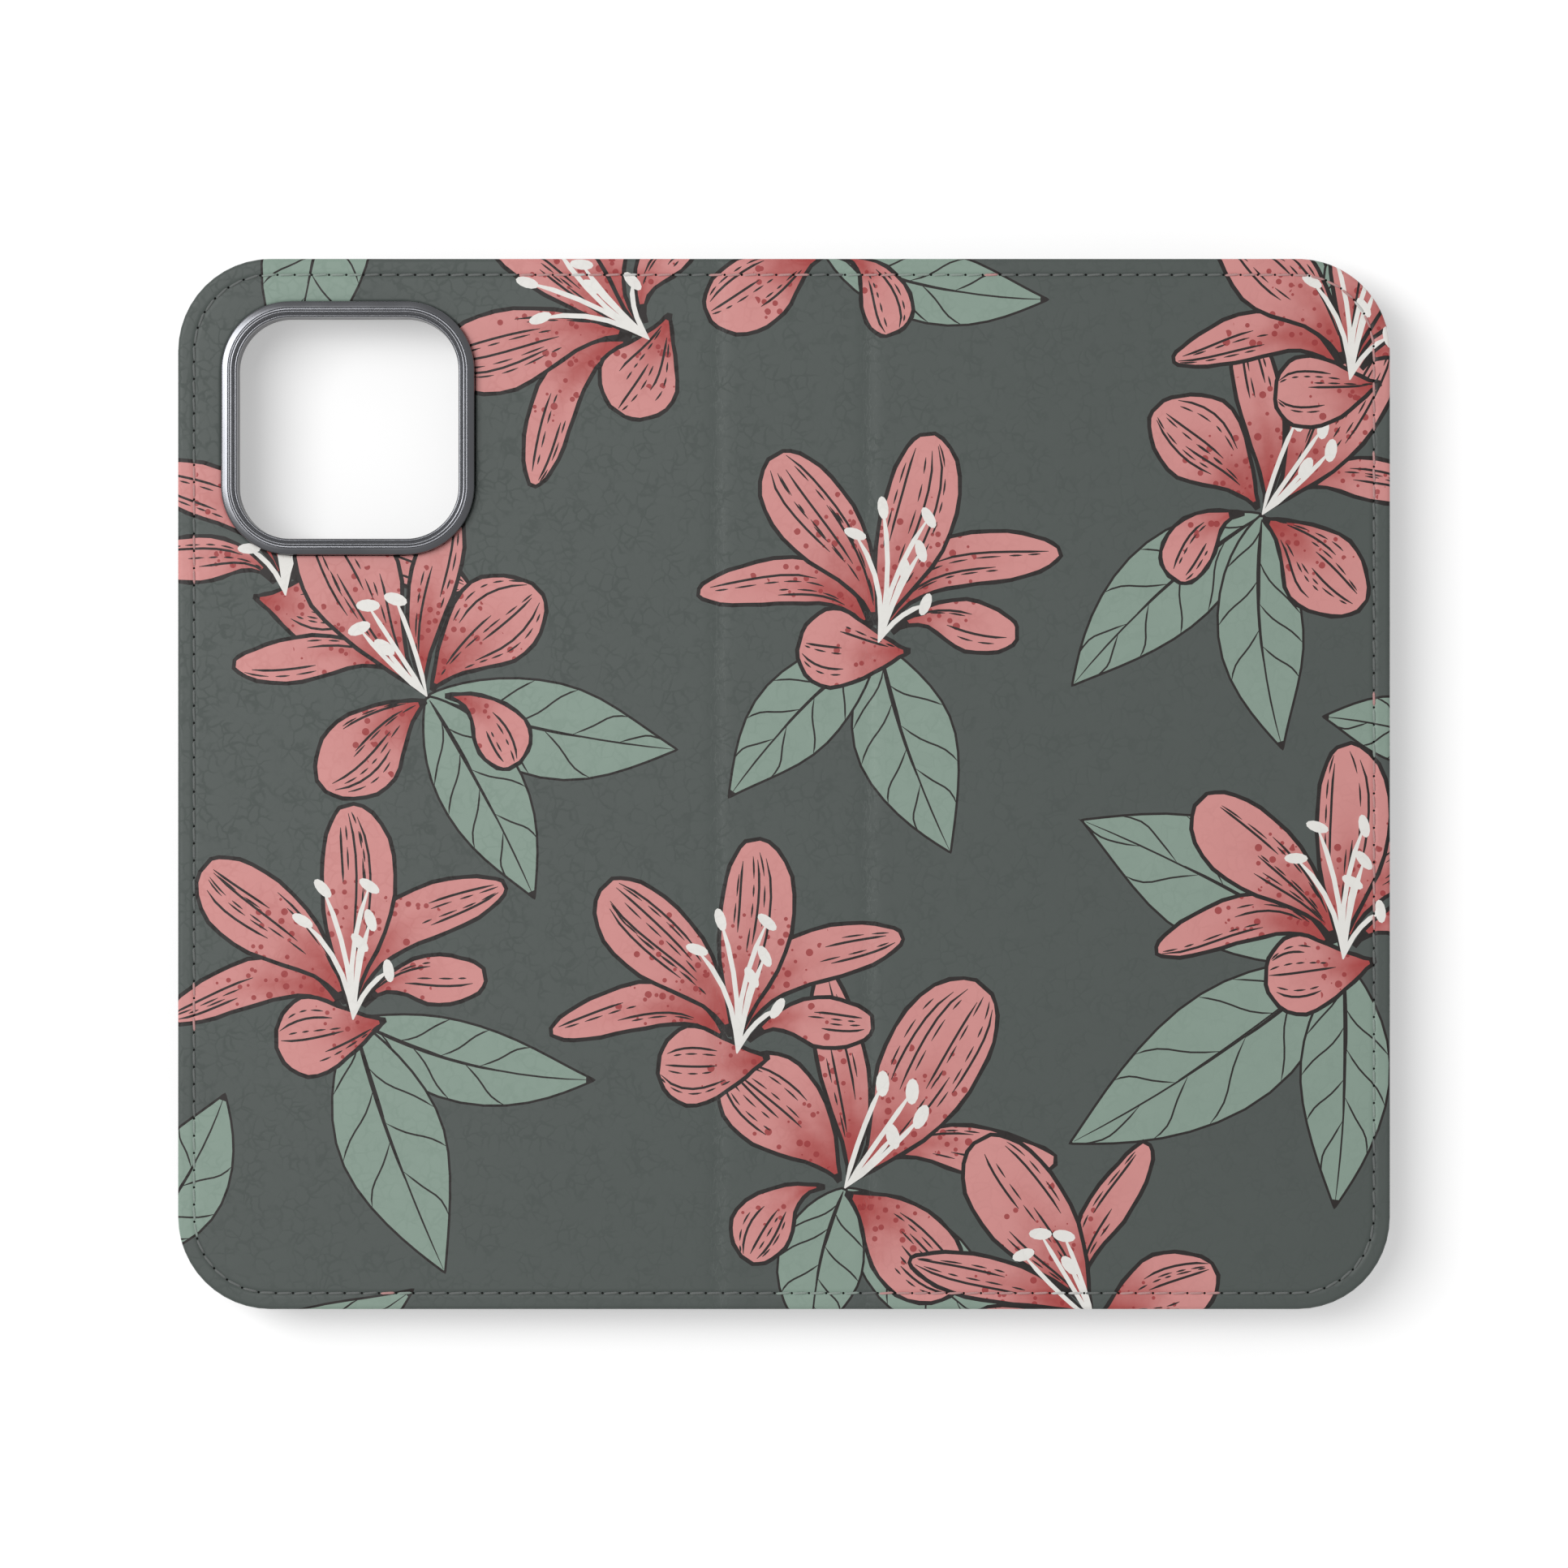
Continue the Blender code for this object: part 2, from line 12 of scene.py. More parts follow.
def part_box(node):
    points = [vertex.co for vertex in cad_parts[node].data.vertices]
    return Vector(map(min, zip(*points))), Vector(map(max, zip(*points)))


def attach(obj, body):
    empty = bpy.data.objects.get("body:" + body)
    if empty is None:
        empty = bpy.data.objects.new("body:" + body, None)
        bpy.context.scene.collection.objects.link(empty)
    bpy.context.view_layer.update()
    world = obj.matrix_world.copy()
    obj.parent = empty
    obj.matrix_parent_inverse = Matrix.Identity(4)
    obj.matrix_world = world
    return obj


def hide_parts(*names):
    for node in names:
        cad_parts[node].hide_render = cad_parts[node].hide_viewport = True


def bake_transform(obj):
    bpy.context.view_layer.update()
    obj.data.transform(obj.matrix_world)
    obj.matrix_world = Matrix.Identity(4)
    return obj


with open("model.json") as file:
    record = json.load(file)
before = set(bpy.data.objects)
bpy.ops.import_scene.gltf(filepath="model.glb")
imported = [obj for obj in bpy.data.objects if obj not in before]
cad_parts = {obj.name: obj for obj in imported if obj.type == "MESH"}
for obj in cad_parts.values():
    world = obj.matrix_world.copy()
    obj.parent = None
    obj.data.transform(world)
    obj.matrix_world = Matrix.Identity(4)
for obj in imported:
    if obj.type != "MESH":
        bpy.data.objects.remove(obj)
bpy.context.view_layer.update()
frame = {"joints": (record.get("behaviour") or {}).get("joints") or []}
scene = bpy.context.scene
mm = 0.001

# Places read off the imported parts, in millimetres
skinLow, skinHigh = (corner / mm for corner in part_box("back_skin"))
halfX = -skinLow.x
halfY = skinHigh.y
coverTop = skinHigh.z
coverBottom = skinLow.z
creases = [joint["pos_m"][0] / mm for joint in frame["joints"]]
midSpine = sum(creases) / 2
guardLow, guardHigh = (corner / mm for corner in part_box("camera_guard"))
trayLow, trayHigh = (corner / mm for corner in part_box("phone_tray"))

cover = {
    "corner": 13.7,
    "edgeRound": 0.5,        # how far the skin rolls over the edge
    "skinThickness": 0.4,
    "seamDepth": 0.14,
    "seamWidth": 0.3,
    "creaseDepth": 0.09,
    "creaseWidth": 1.2,
    "pinchHeight": 1.45,     # how far the layers close up where there is no board
    "pinchWidth": 1.3,
    "windowGap": 0.12,
    "windowCorner": 10.5,
    "windowRoll": 0.12,
    "windowRollReach": 0.35,
    "cornerSteps": 12,
}
sideFall = coverTop - cover["edgeRound"] - coverBottom


def fromSrgb(red, green, blue):
    values = [channel / 255 for channel in (red, green, blue)]
    return tuple(v / 12.92 if v <= 0.04045 else ((v + 0.055) / 1.055) ** 2.4 for v in values)


inks = {
    "ground": fromSrgb(84, 91, 88),
    "line": fromSrgb(40, 34, 33),
    "petal": fromSrgb(223, 150, 147),
    "leaf": fromSrgb(147, 168, 155),
    "stamen": fromSrgb(248, 246, 241),
    # painted shade: the near-black inside each needle hole
    "holeShade": fromSrgb(14, 14, 14),
}


# Print: petals and leaves are blades about a bowed midrib, along 0 to 1 from base to tip, across -1 to 1
def makeBlade(base, turn, length, halfWidth, bow=0.0, curl=0.0, fullest=0.6, claw=1.2, blunt=0.6,
              skew=0.0, wave=0.05):
    heading = Vector((math.cos(turn), math.sin(turn)))
    return {
        "base": Vector(base), "run": heading * length, "side": Vector((-heading.y, heading.x)) * length,
        "bow": bow, "curl": curl, "halfWidth": halfWidth, "fullest": fullest,
        "power": math.log(0.5) / math.log(fullest), "claw": claw, "blunt": blunt,
        "skew": skew, "wave": wave, "phase": length * 1.7 + turn,
    }


def bladeWidth(blade, along):
    along = min(max(along, 0.0), 1.0)
    swelling = math.sin(math.pi * along ** blade["power"])
    ruffle = 1 + blade["wave"] * math.sin(9 * along + blade["phase"])
    return blade["halfWidth"] * swelling ** blade["claw" if along < blade["fullest"] else "blunt"] * ruffle


def bladePoint(blade, along, across):
    bow, curl = blade["bow"], blade["curl"]
    lift = 2 * bow * along * (1 - along) + curl * along * (1 - along) * (1 - 2 * along)
    climb = 2 * bow * (1 - 2 * along) + curl * (1 - 6 * along + 6 * along * along)
    point = blade["base"] + blade["run"] * along + blade["side"] * lift
    tangent = blade["run"] + blade["side"] * climb
    side = Vector((-tangent.y, tangent.x)).normalized()
    lean = 1 + blade["skew"] * (1 if across > 0 else -1)
    return point + side * bladeWidth(blade, along) * across * lean


def bladeOutline(blade, narrowest=0.0, steps=18):
    # The blade's edge, leaving out its ends where it is narrower than a given width
    stations = [(1 - math.cos(math.pi * i / steps)) / 2 for i in range(steps + 1)]
    stations = [along for along in stations if bladeWidth(blade, along) >= narrowest - 1e-6]
    ends = slice(1, -1) if narrowest == 0 else slice(None)
    left = [bladePoint(blade, along, 1.0) for along in stations]
    right = [bladePoint(blade, along, -1.0) for along in stations[::-1][ends]]
    return left + right


def swell(points, amount, variation=0.0):
    # Push a closed outline outwards, by an amount that varies like a drawn line
    area = sum(a.x * b.y - b.x * a.y for a, b in zip(points, points[1:] + points[:1]))
    outward = 1 if area > 0 else -1
    swollen = []
    for i, point in enumerate(points):
        along = (points[(i + 1) % len(points)] - points[i - 1]).normalized()
        normal = Vector((along.y, -along.x)) * outward
        swollen.append(point + normal * amount * (1 + variation * math.sin(2.3 * i + points[0].x)))
    return swollen


shapes = []          # painter's order, each {"kind", "points", "blade"}


def addShape(kind, points, blade=None):
    shapes.append({"kind": kind, "points": points, "blade": blade})


def addStroke(points, width, kind="line"):
    # A drawn line, thin at both ends
    sides = [[], []]
    last = len(points) - 1
    for i, point in enumerate(points):
        ahead = points[min(i + 1, last)] - points[max(i - 1, 0)]
        normal = Vector((-ahead.y, ahead.x)).normalized()
        half = width / 2 * (0.25 + 0.75 * min(1.0, 2.2 * math.sin(math.pi * i / last)))
        sides[0].append(point + normal * half)
        sides[1].append(point - normal * half)
    addShape(kind, sides[0] + sides[1][::-1])


def bladeStroke(blade, start, end, across, width, drift=0.0, steps=4):
    path = []
    for i in range(steps + 1):
        share = i / steps
        path.append(bladePoint(blade, start + (end - start) * share, across + drift * share))
    addStroke(path, width)


petalInk = {
    "outline": 0.62,
    "streak": 0.36,
    "dash": 0.27,
    "dashSteps": 3,
    "lineEnds": 0.13,        # the outline stops where the petal's half width is under this share of it
    "fillEnds": 0.42,        # and the fill inside it under this share
    "streaks": 0.6,          # for each millimetre of half width
    "slender": 0.3,          # half width over length, below which a petal tapers more at its base
    "slenderClaw": 1.0,
    "broadClaw": 0.8,
}
leafInk = {"outline": 0.36, "rib": 0.27, "vein": 0.27, "fillEnds": 0.42}
stamenWidth = 0.72


def drawPetal(blade, draw):
    ink = petalInk["outline"]
    addShape("line", swell(bladeOutline(blade, ink * petalInk["lineEnds"]), ink / 2, 0.25))
    addShape("petal", swell(bladeOutline(blade, ink * petalInk["fillEnds"]), -ink / 2, 0.15), blade)
    count = max(2, round(blade["halfWidth"] * petalInk["streaks"]))
    for k in range(count):
        across = -0.74 + 1.48 * (k + 0.5) / count + draw.uniform(-0.12, 0.12)
        fromTip = draw.random() < 0.75
        start, end = draw.uniform(0.36, 0.64), draw.uniform(0.9, 0.97)
        if not fromTip:
            start, end = draw.uniform(0.14, 0.24), draw.uniform(0.55, 0.7)
        drift = draw.uniform(-0.12, 0.12)
        bladeStroke(blade, start, end, across, petalInk["streak"], drift, steps=6)
        # A broken line runs beside it
        beside = across + draw.choice((-1, 1)) * (0.55 / blade["halfWidth"] + draw.uniform(0.03, 0.09))
        if abs(beside) < 0.84:
            place = start + draw.uniform(-0.1, 0.1)
            while place < end - 0.04:
                dash = draw.uniform(0.05, 0.12)
                bladeStroke(blade, place, min(place + dash, 0.96), beside, petalInk["dash"],
                            drift * 0.1, petalInk["dashSteps"])
                place += dash + draw.uniform(0.025, 0.05)


def drawLeaf(base, turn, length, halfWidth, bow, draw):
    blade = makeBlade(base, turn, length, halfWidth, bow, fullest=0.47, claw=0.85, blunt=1.0, wave=0.02)
    ink = leafInk["outline"]
    addShape("line", swell(bladeOutline(blade), ink / 2))
    addShape("leaf", swell(bladeOutline(blade, ink * leafInk["fillEnds"]), -ink / 2), blade)
    for side in (-1, 1):
        bladeStroke(blade, 0.02, 0.5 - side * 0.12, side * 0.05, leafInk["rib"], -side * 0.03, steps=8)
        for k in range(draw.choice((3, 4))):
            start = 0.14 + 0.19 * k + 0.05 * side + draw.uniform(-0.03, 0.03)
            reach = 0.2 + draw.uniform(-0.05, 0.04)
            path = [bladePoint(blade, start + reach * (t + 0.05 * math.sin(6 * t)), side * (0.02 + 0.95 * t))
                    for t in (0, 0.15, 0.3, 0.45, 0.6, 0.75, 0.9, 1.0)]
            addStroke(path, leafInk["vein"])
    bladeStroke(blade, 0.03, 0.985, 0.0, leafInk["rib"], steps=10)


# Each petal: turn in degrees, length, half width, bow, curl, fullest, blunt, skew, and where its base lies
sideLily = {
    "petals": [
        (9, 27.0, 3.5, 0.34, 0.5, 0.55, 0.55, 0.2, (0.8, 0.8)),
        (171, 20.0, 3.7, -0.3, -0.5, 0.68, 0.42, 0.15, (-0.8, 0.2)),
        (149, 29.5, 4.0, -0.34, -0.5, 0.54, 0.5, -0.15, (-0.6, 0.6)),
        (98, 32.0, 5.7, 0.05, -0.2, 0.62, 0.5, 0.08, (0.0, 0.0)),
        (57, 31.5, 6.0, 0.16, 0.25, 0.66, 0.5, -0.2, (0.4, 0.3)),
        (0, 17.0, 5.8, -0.08, 0.0, 0.66, 0.45, 0.0, (-5.2, -0.8)),
    ],
    "stamens": [(107, 20.0, -0.12), (110, 15.0, -0.06), (105, 11.5, 0.0), (87, 20.0, 0.1),
                (73, 16.5, 0.2), (136, 9.0, -0.2)],
    "anther": (1.75, 0.8),
}
frontLily = {
    "petals": [
        (90, 32.0, 3.8, 0.08, 0.2, 0.56, 0.6, 0.0, (-0.5, 1.0)),
        (179, 31.0, 3.5, -0.28, -0.45, 0.64, 0.5, 0.15, (-0.8, 0.4)),
        (52, 24.5, 7.0, 0.08, 0.2, 0.62, 0.5, 0.1, (0.4, 0.4)),
        (131, 36.0, 7.6, 0.05, 0.2, 0.62, 0.48, -0.1, (-0.4, 0.4)),
        (-34, 17.0, 4.4, 0.34, 0.4, 0.68, 0.45, 0.15, (1.4, 0.2)),
        (226, 22.5, 6.5, -0.1, -0.2, 0.6, 0.5, 0.15, (0.5, -0.5)),
    ],
    "stamens": [(116, 16.5, -0.05), (131, 17.5, 0.0), (143, 15.5, 0.05), (139, 10.5, 0.04)],
    "anther": (1.95, 1.0),
}

# Where the flowers lie on the case: place, turn, size, mirrored, and the leaves beside each one
bouquets = [       # leaves as turn, length, half width, bow
    (frontLily, (9, -60), 6, 1.0, True, [(318, 36, 7.2, -0.08), (258, 24, 6.4, -0.1)]),
    (frontLily, (71, 40), 6, 0.9, True, [(222, 38, 7.0, -0.08), (275, 35, 6.4, -0.1)]),
    (frontLily, (6, 79), -20, 0.88, False, [(-12, 34, 5.6, -0.1)]),
    (frontLily, (46, -80), 72, 0.88, True, []),
    (sideLily, (-74, 28), -8, 0.98, False, []),
    (sideLily, (14, 21), -5, 1.0, True, [(289, 33, 7.4, -0.06), (226, 32, 6.2, -0.08)]),
    (sideLily, (84, 60), 4, 0.95, True, []),
    (sideLily, (83, -26), 8, 1.0, True,
     [(152, 44, 8.8, -0.05), (214, 49, 9.0, 0.06), (268, 37, 6.6, 0.05)]),
    (sideLily, (-7, -40), 4, 1.0, True, []),
    (sideLily, (-64, -35), 10, 1.0, True, [(-14, 37, 6.0, -0.12), (-70, 40, 7.8, -0.04)]),
    (sideLily, (-20, 66), 62, 1.0, True, []),
    (frontLily, (-53, 13), -8, 0.92, False, [(-12, 38, 7.2, -0.06), (-62, 34, 6.4, 0.04)]),
]
looseLeaves = [    # base, tip, half width, bow
    ((-64, 97), (-73, 60), 8.0, -0.06),
    ((74, 94), (83, 62), 8.0, 0.1),
    ((98, 90), (80, 68), 6.0, -0.1),
    ((104, 4), (80, 10), 5.0, -0.08),
    ((-98, -70), (-83, -46), 6.6, -0.12),
    ((-90, -90), (-55, -75), 6.2, -0.12),
]


def drawPrint():
    draw = random.Random(11)
    for base, tip, halfWidth, bow in looseLeaves:
        run = Vector(tip) - Vector(base)
        drawLeaf(base, math.atan2(run.y, run.x), run.length, halfWidth, bow, draw)
    for lily, place, turn, size, mirrored, leaves in bouquets:
        for leafTurn, length, halfWidth, bow in leaves:
            drawLeaf(place, math.radians(leafTurn), length, halfWidth, bow, draw)
    for lily, place, turn, size, mirrored, leaves in bouquets:
        flip = -1 if mirrored else 1

        def onPage(angle, offset=(0.0, 0.0)):
            spin = Matrix.Rotation(math.radians(turn), 2)
            facing = math.pi - math.radians(angle) if mirrored else math.radians(angle)
            base = Vector(place) + spin @ Vector((flip * offset[0], offset[1])) * size
            return math.radians(turn) + facing, base

        for angle, length, halfWidth, bow, curl, fullest, blunt, skew, offset in lily["petals"]:
            heading, base = onPage(angle, offset)
            slender = halfWidth < petalInk["slender"] * length
            claw = petalInk["slenderClaw"] if slender else petalInk["broadClaw"]
            drawPetal(makeBlade(base, heading, length * size, halfWidth * size, flip * bow, flip * curl,
                                fullest, claw, blunt, flip * skew), draw)
        for angle, length, bow in lily["stamens"]:
            heading, base = onPage(angle)
            thread = makeBlade(base, heading, length * size, 1.0, flip * bow)
            path = [bladePoint(thread, t, 0.0) for t in (0, 0.2, 0.4, 0.6, 0.8, 1.0)]
            addStroke(path, stamenWidth * size, "stamen")
            long, short = (side * size for side in lily["anther"])
            tilt = Matrix.Rotation(heading + draw.uniform(0.1, 1.2), 2)
            tip = bladePoint(thread, 1.0, 0.0)
            addShape("stamen", [tip + tilt @ Vector((long * math.cos(a), short * math.sin(a)))
                                for a in np.linspace(0, 2 * math.pi, 12, endpoint=False)])


drawPrint()
print("print drawn:", len(shapes), "shapes")


# Sheets: a flat layout in millimetres, cut by contour lines, which is then laid over the case
seam = {
    "inset": 2.4,
    "pitch": 2.55,
    "threadRadius": 0.19,
    "holeRadius": 0.19,
    "holeDepth": 0.28,
    "holeGap": 0.16,         # how far a stitch stops short of the hole's middle
    "bed": 0.07,             # how far the thread's middle lies above its groove
    "sink": 0.22,            # how far a stitch's ends go down into their holes
    "lean": 0.05,
    "sway": 0.03,
    "paler": 0.2,
}


def outlineRun(inset, side, endX):
    # The case's outline at an inset, from crease to crease round one cover: side -1 back, 1 front
    radius = cover["corner"] - inset
    arcX, arcY = halfX - cover["corner"], halfY - cover["corner"]
    points = [Vector((endX, halfY - inset))]
    for end in (1, -1):
        for i in range(cover["cornerSteps"] + 1):
            share = i / cover["cornerSteps"]
            angle = math.pi / 2 * (1 - share if end > 0 else share)
            points.append(Vector((side * (arcX + radius * math.cos(angle)),
                                  end * (arcY + radius * math.sin(angle)))))
    points.append(Vector((endX, inset - halfY)))
    return points


def squareLoop(centre, half, radius, steps=8):
    points = []
    for quarter in range(4):
        corner = Matrix.Rotation(quarter * math.pi / 2, 2) @ Vector((half - radius, half - radius))
        for i in range(steps + 1):
            angle = (quarter + i / steps) * math.pi / 2
            points.append(Vector(centre) + corner + radius * Vector((math.cos(angle), math.sin(angle))))
    return points


def insideLoop(loop, flat):
    inside = np.zeros(len(flat), bool)
    x, y = flat[:, 0], flat[:, 1]
    for a, b in zip(loop, loop[1:] + loop[:1]):
        if a.y != b.y:
            inside ^= ((a.y > y) != (b.y > y)) & (x < a.x + (y - a.y) * (b.x - a.x) / (b.y - a.y))
    return inside


def topShapes(places, drawn):
    # The index of the last shape drawn over each place, or -1 on bare ground
    owners = np.full(len(places), -1)
    for index, shape in enumerate(drawn):
        low, high = shape["low"], shape["high"]
        near = np.flatnonzero(((places >= low) & (places <= high)).all(axis=1))
        if len(near):
            owners[near[insideLoop(shape["points"], places[near])]] = index
    return owners


def layOut(region, holes, drawn, openLines):
    # Triangles that respect the region, its holes, every drawn shape and every open line
    points, edges = [], []
    for loop in [region, *holes, *(shape["points"] for shape in drawn)]:
        first = len(points)
        points.extend(loop)
        edges.extend((first + i, first + (i + 1) % len(loop)) for i in range(len(loop)))
    for line in openLines:
        first = len(points)
        points.extend(line)
        edges.extend((first + i, first + i + 1) for i in range(len(line) - 1))
    out = delaunay_2d_cdt(points, edges, [], 0, 1e-4, False)
    flat = np.array([tuple(p) for p in out[0]])
    triangles = np.array(out[2])
    middles = flat[triangles].mean(axis=1)
    kept = insideLoop(region, middles)
    for holeShade in holes:
        kept &= ~insideLoop(holeShade, middles)
    corners = flat[triangles]
    spans = corners[:, 1:] - corners[:, :1]
    areas = spans[:, 0, 0] * spans[:, 1, 1] - spans[:, 0, 1] * spans[:, 1, 0]
    kept &= areas > 1e-7
    used, renumbered = np.unique(triangles[kept], return_inverse=True)
    return flat[used], renumbered.reshape(-1, 3), topShapes(middles[kept], drawn)


def edgeDistance(flat):
    # Distance in from the case's outline, and the way out to it
    beyond = np.abs(flat) - np.array([halfX - cover["corner"], halfY - cover["corner"]])
    outside = np.maximum(beyond, 0.0)
    reach = np.linalg.norm(outside, axis=1)
    distance = cover["corner"] - reach - np.minimum(beyond.max(axis=1), 0.0)
    wayOut = np.where((reach > 0)[:, None], outside / np.maximum(reach, 1e-9)[:, None],
                      (beyond == beyond.max(axis=1)[:, None]).astype(float))
    return distance, wayOut * np.where(flat < 0, -1.0, 1.0)


def dip(values, width):
    return np.exp(-(values / width) ** 2)


def nearCrease(x, width):
    return np.clip(sum(dip(x - crease, width) for crease in creases), 0.0, 1.0)


windowHalf = (guardHigh.x - guardLow.x) / 2 + cover["windowGap"]
windowCentre = ((guardLow.x + guardHigh.x) / 2, (guardLow.y + guardHigh.y) / 2)


def windowDistance(flat):
    beyond = np.maximum(np.abs(flat - np.array(windowCentre)) - windowHalf + cover["windowCorner"], 0.0)
    return np.linalg.norm(beyond, axis=1) - cover["windowCorner"]


def placeSkin(flat):
    # Flat on top, rolled over the edge and down the side
    distance, wayOut = edgeDistance(flat)
    roundness = cover["edgeRound"]
    over = np.maximum(roundness - distance, 0.0)
    angle = np.minimum(over / roundness, math.pi / 2)
    drop = np.maximum(over - roundness * math.pi / 2, 0.0)
    drop *= 1 - nearCrease(flat[:, 0], cover["pinchWidth"]) * cover["pinchHeight"] / sideFall
    inset = np.where(over > 0, roundness * (1 - np.sin(angle)), distance)
    plan = flat + wayOut * (distance - inset)[:, None]
    z = coverTop - roundness * (1 - np.cos(angle)) - drop
    z -= cover["seamDepth"] * dip(distance - seam["inset"], cover["seamWidth"])
    z -= cover["creaseDepth"] * nearCrease(flat[:, 0], cover["creaseWidth"]) * np.cos(angle)
    z -= cover["windowRoll"] * np.clip(1 - windowDistance(flat) / cover["windowRollReach"], 0, 1) ** 2
    return np.column_stack([plan, z])


def applyModifiers(obj):
    bpy.context.view_layer.update()
    graph = bpy.context.evaluated_depsgraph_get()
    old = obj.data
    obj.data = bpy.data.meshes.new_from_object(obj.evaluated_get(graph), preserve_all_data_layers=True,
                                               depsgraph=graph)
    obj.modifiers.clear()
    bpy.data.meshes.remove(old)


def addObject(name, data):
    obj = bpy.data.objects.new(name, data)
    scene.collection.objects.link(obj)
    return obj


def addPiece(name, mesh, material):
    obj = addObject(name, mesh)
    mesh.materials.append(material)
    return obj


def toMesh(name, shape):
    mesh = bpy.data.meshes.new(name)
    shape.to_mesh(mesh)
    shape.free()
    return mesh


def addSheet(name, placed, triangles, material):
    mesh = bpy.data.meshes.new(name)
    mesh.from_pydata((placed * mm).tolist(), [], triangles.tolist())
    return addPiece(name, mesh, material)


def thicken(sheet, thickness, sharpAngle=50):
    # The sheet's faces are its outside, and the thickness goes in from them
    solid = sheet.modifiers.new("thickness", "SOLIDIFY")
    solid.thickness = thickness * mm
    solid.offset = -1.0
    applyModifiers(sheet)
    sheet.data.shade_smooth()
    sheet.data.set_sharp_from_angle(angle=math.radians(sharpAngle))


def writeFlatMap(mesh, flat, triangles):
    # Centimetres on the flat sheet
    mesh.uv_layers.new(name="flatMap").data.foreach_set("uv", (flat[triangles.ravel()] / 10).ravel())


def bladeMap(blade, flat):
    # Along and across for points near a blade, from the nearest station of its midrib
    stations = np.linspace(0, 1, 49)
    ribs = np.array([tuple(bladePoint(blade, along, 0.0)) for along in stations])
    sides = np.array([tuple((bladePoint(blade, along, 1.0) - bladePoint(blade, along, 0.0)).normalized())
                      if 0 < along < 1 else (0.0, 0.0) for along in stations])
    gaps = flat[:, None, :] - ribs[None, :, :]
    nearest = np.argmin((gaps ** 2).sum(axis=2), axis=1)
    along = stations[nearest]
    width = np.array([max(bladeWidth(blade, a), 0.3) for a in along])
    across = (gaps[np.arange(len(flat)), nearest] * sides[nearest]).sum(axis=1) / width
    return np.column_stack([along, np.clip(across, -1.2, 1.2)])


def paintSkin(mesh, flat, triangles, owners, drawn):
    # Ink colour, petal and leaf mask, and both maps, one value for each triangle's corner
    corners = triangles.ravel()
    cornerOwner = np.repeat(owners, 3)
    colour = np.ones((len(corners), 4))
    colour[:, :3] = inks["ground"]
    mask = np.zeros(len(corners))
    petalMap = np.zeros((len(corners), 2))
    order = np.argsort(cornerOwner, kind="stable")
    values, starts = np.unique(cornerOwner[order], return_index=True)
    for owner, chosen in zip(values, np.split(order, starts[1:])):
        if owner < 0:
            continue
        shape = drawn[owner]
        colour[chosen, :3] = inks[shape["kind"]]
        if shape["blade"] is not None:
            petalMap[chosen] = bladeMap(shape["blade"], flat[corners[chosen]])
            mask[chosen] = 1.0 if shape["kind"] == "petal" else 0.5
    mesh.attributes.new("ink", "FLOAT_COLOR", "CORNER").data.foreach_set("color", colour.ravel())
    mesh.attributes.new("bladeMask", "FLOAT", "CORNER").data.foreach_set("value", mask)
    writeFlatMap(mesh, flat, triangles)
    mesh.uv_layers.new(name="petalMap").data.foreach_set("uv", petalMap.ravel())


def evenMarks(path):
    # Places at an even stitch pitch along a path, both ends included
    lengths = [(b - a).length for a, b in zip(path, path[1:])]
    total = sum(lengths)
    count = round(total / seam["pitch"])
    marks, travelled, i = [], 0.0, 0
    for k in range(count + 1):
        target = total * k / count
        while i < len(lengths) - 1 and travelled + lengths[i] < target:
            travelled += lengths[i]
            i += 1
        marks.append(path[i].lerp(path[i + 1], min((target - travelled) / max(lengths[i], 1e-9), 1.0)))
    return marks


# Needle holes run all round the cover, from the middle of the spine's top edge
seamLoop = outlineRun(seam["inset"], -1, midSpine) + outlineRun(seam["inset"], 1, midSpine)[::-1]
needleHoles = evenMarks(seamLoop + seamLoop[:1])[:-1]
printOnly = list(shapes)
# Each needle hole gets a near-black disc of painted shade
for place in needleHoles:
    addShape("holeShade", [place + seam["holeRadius"] * Vector((math.cos(a), math.sin(a)))
                      for a in np.linspace(0, 2 * math.pi, 7, endpoint=False)])
for shape in shapes:
    around = np.array([tuple(p) for p in shape["points"]])
    shape["low"], shape["high"] = around.min(axis=0), around.max(axis=0)

creaseSteps = (-4, -3.2, -2.5, -2.0, -1.5, -1.1, -0.8, -0.5, -0.2)


def creaseLines(side):
    crease = creases[0] if side < 0 else creases[1]
    places = [crease + step for step in creaseSteps] + [crease - step for step in creaseSteps]
    return [[Vector((x, -halfY - 3)), Vector((x, halfY + 3))] for x in places]


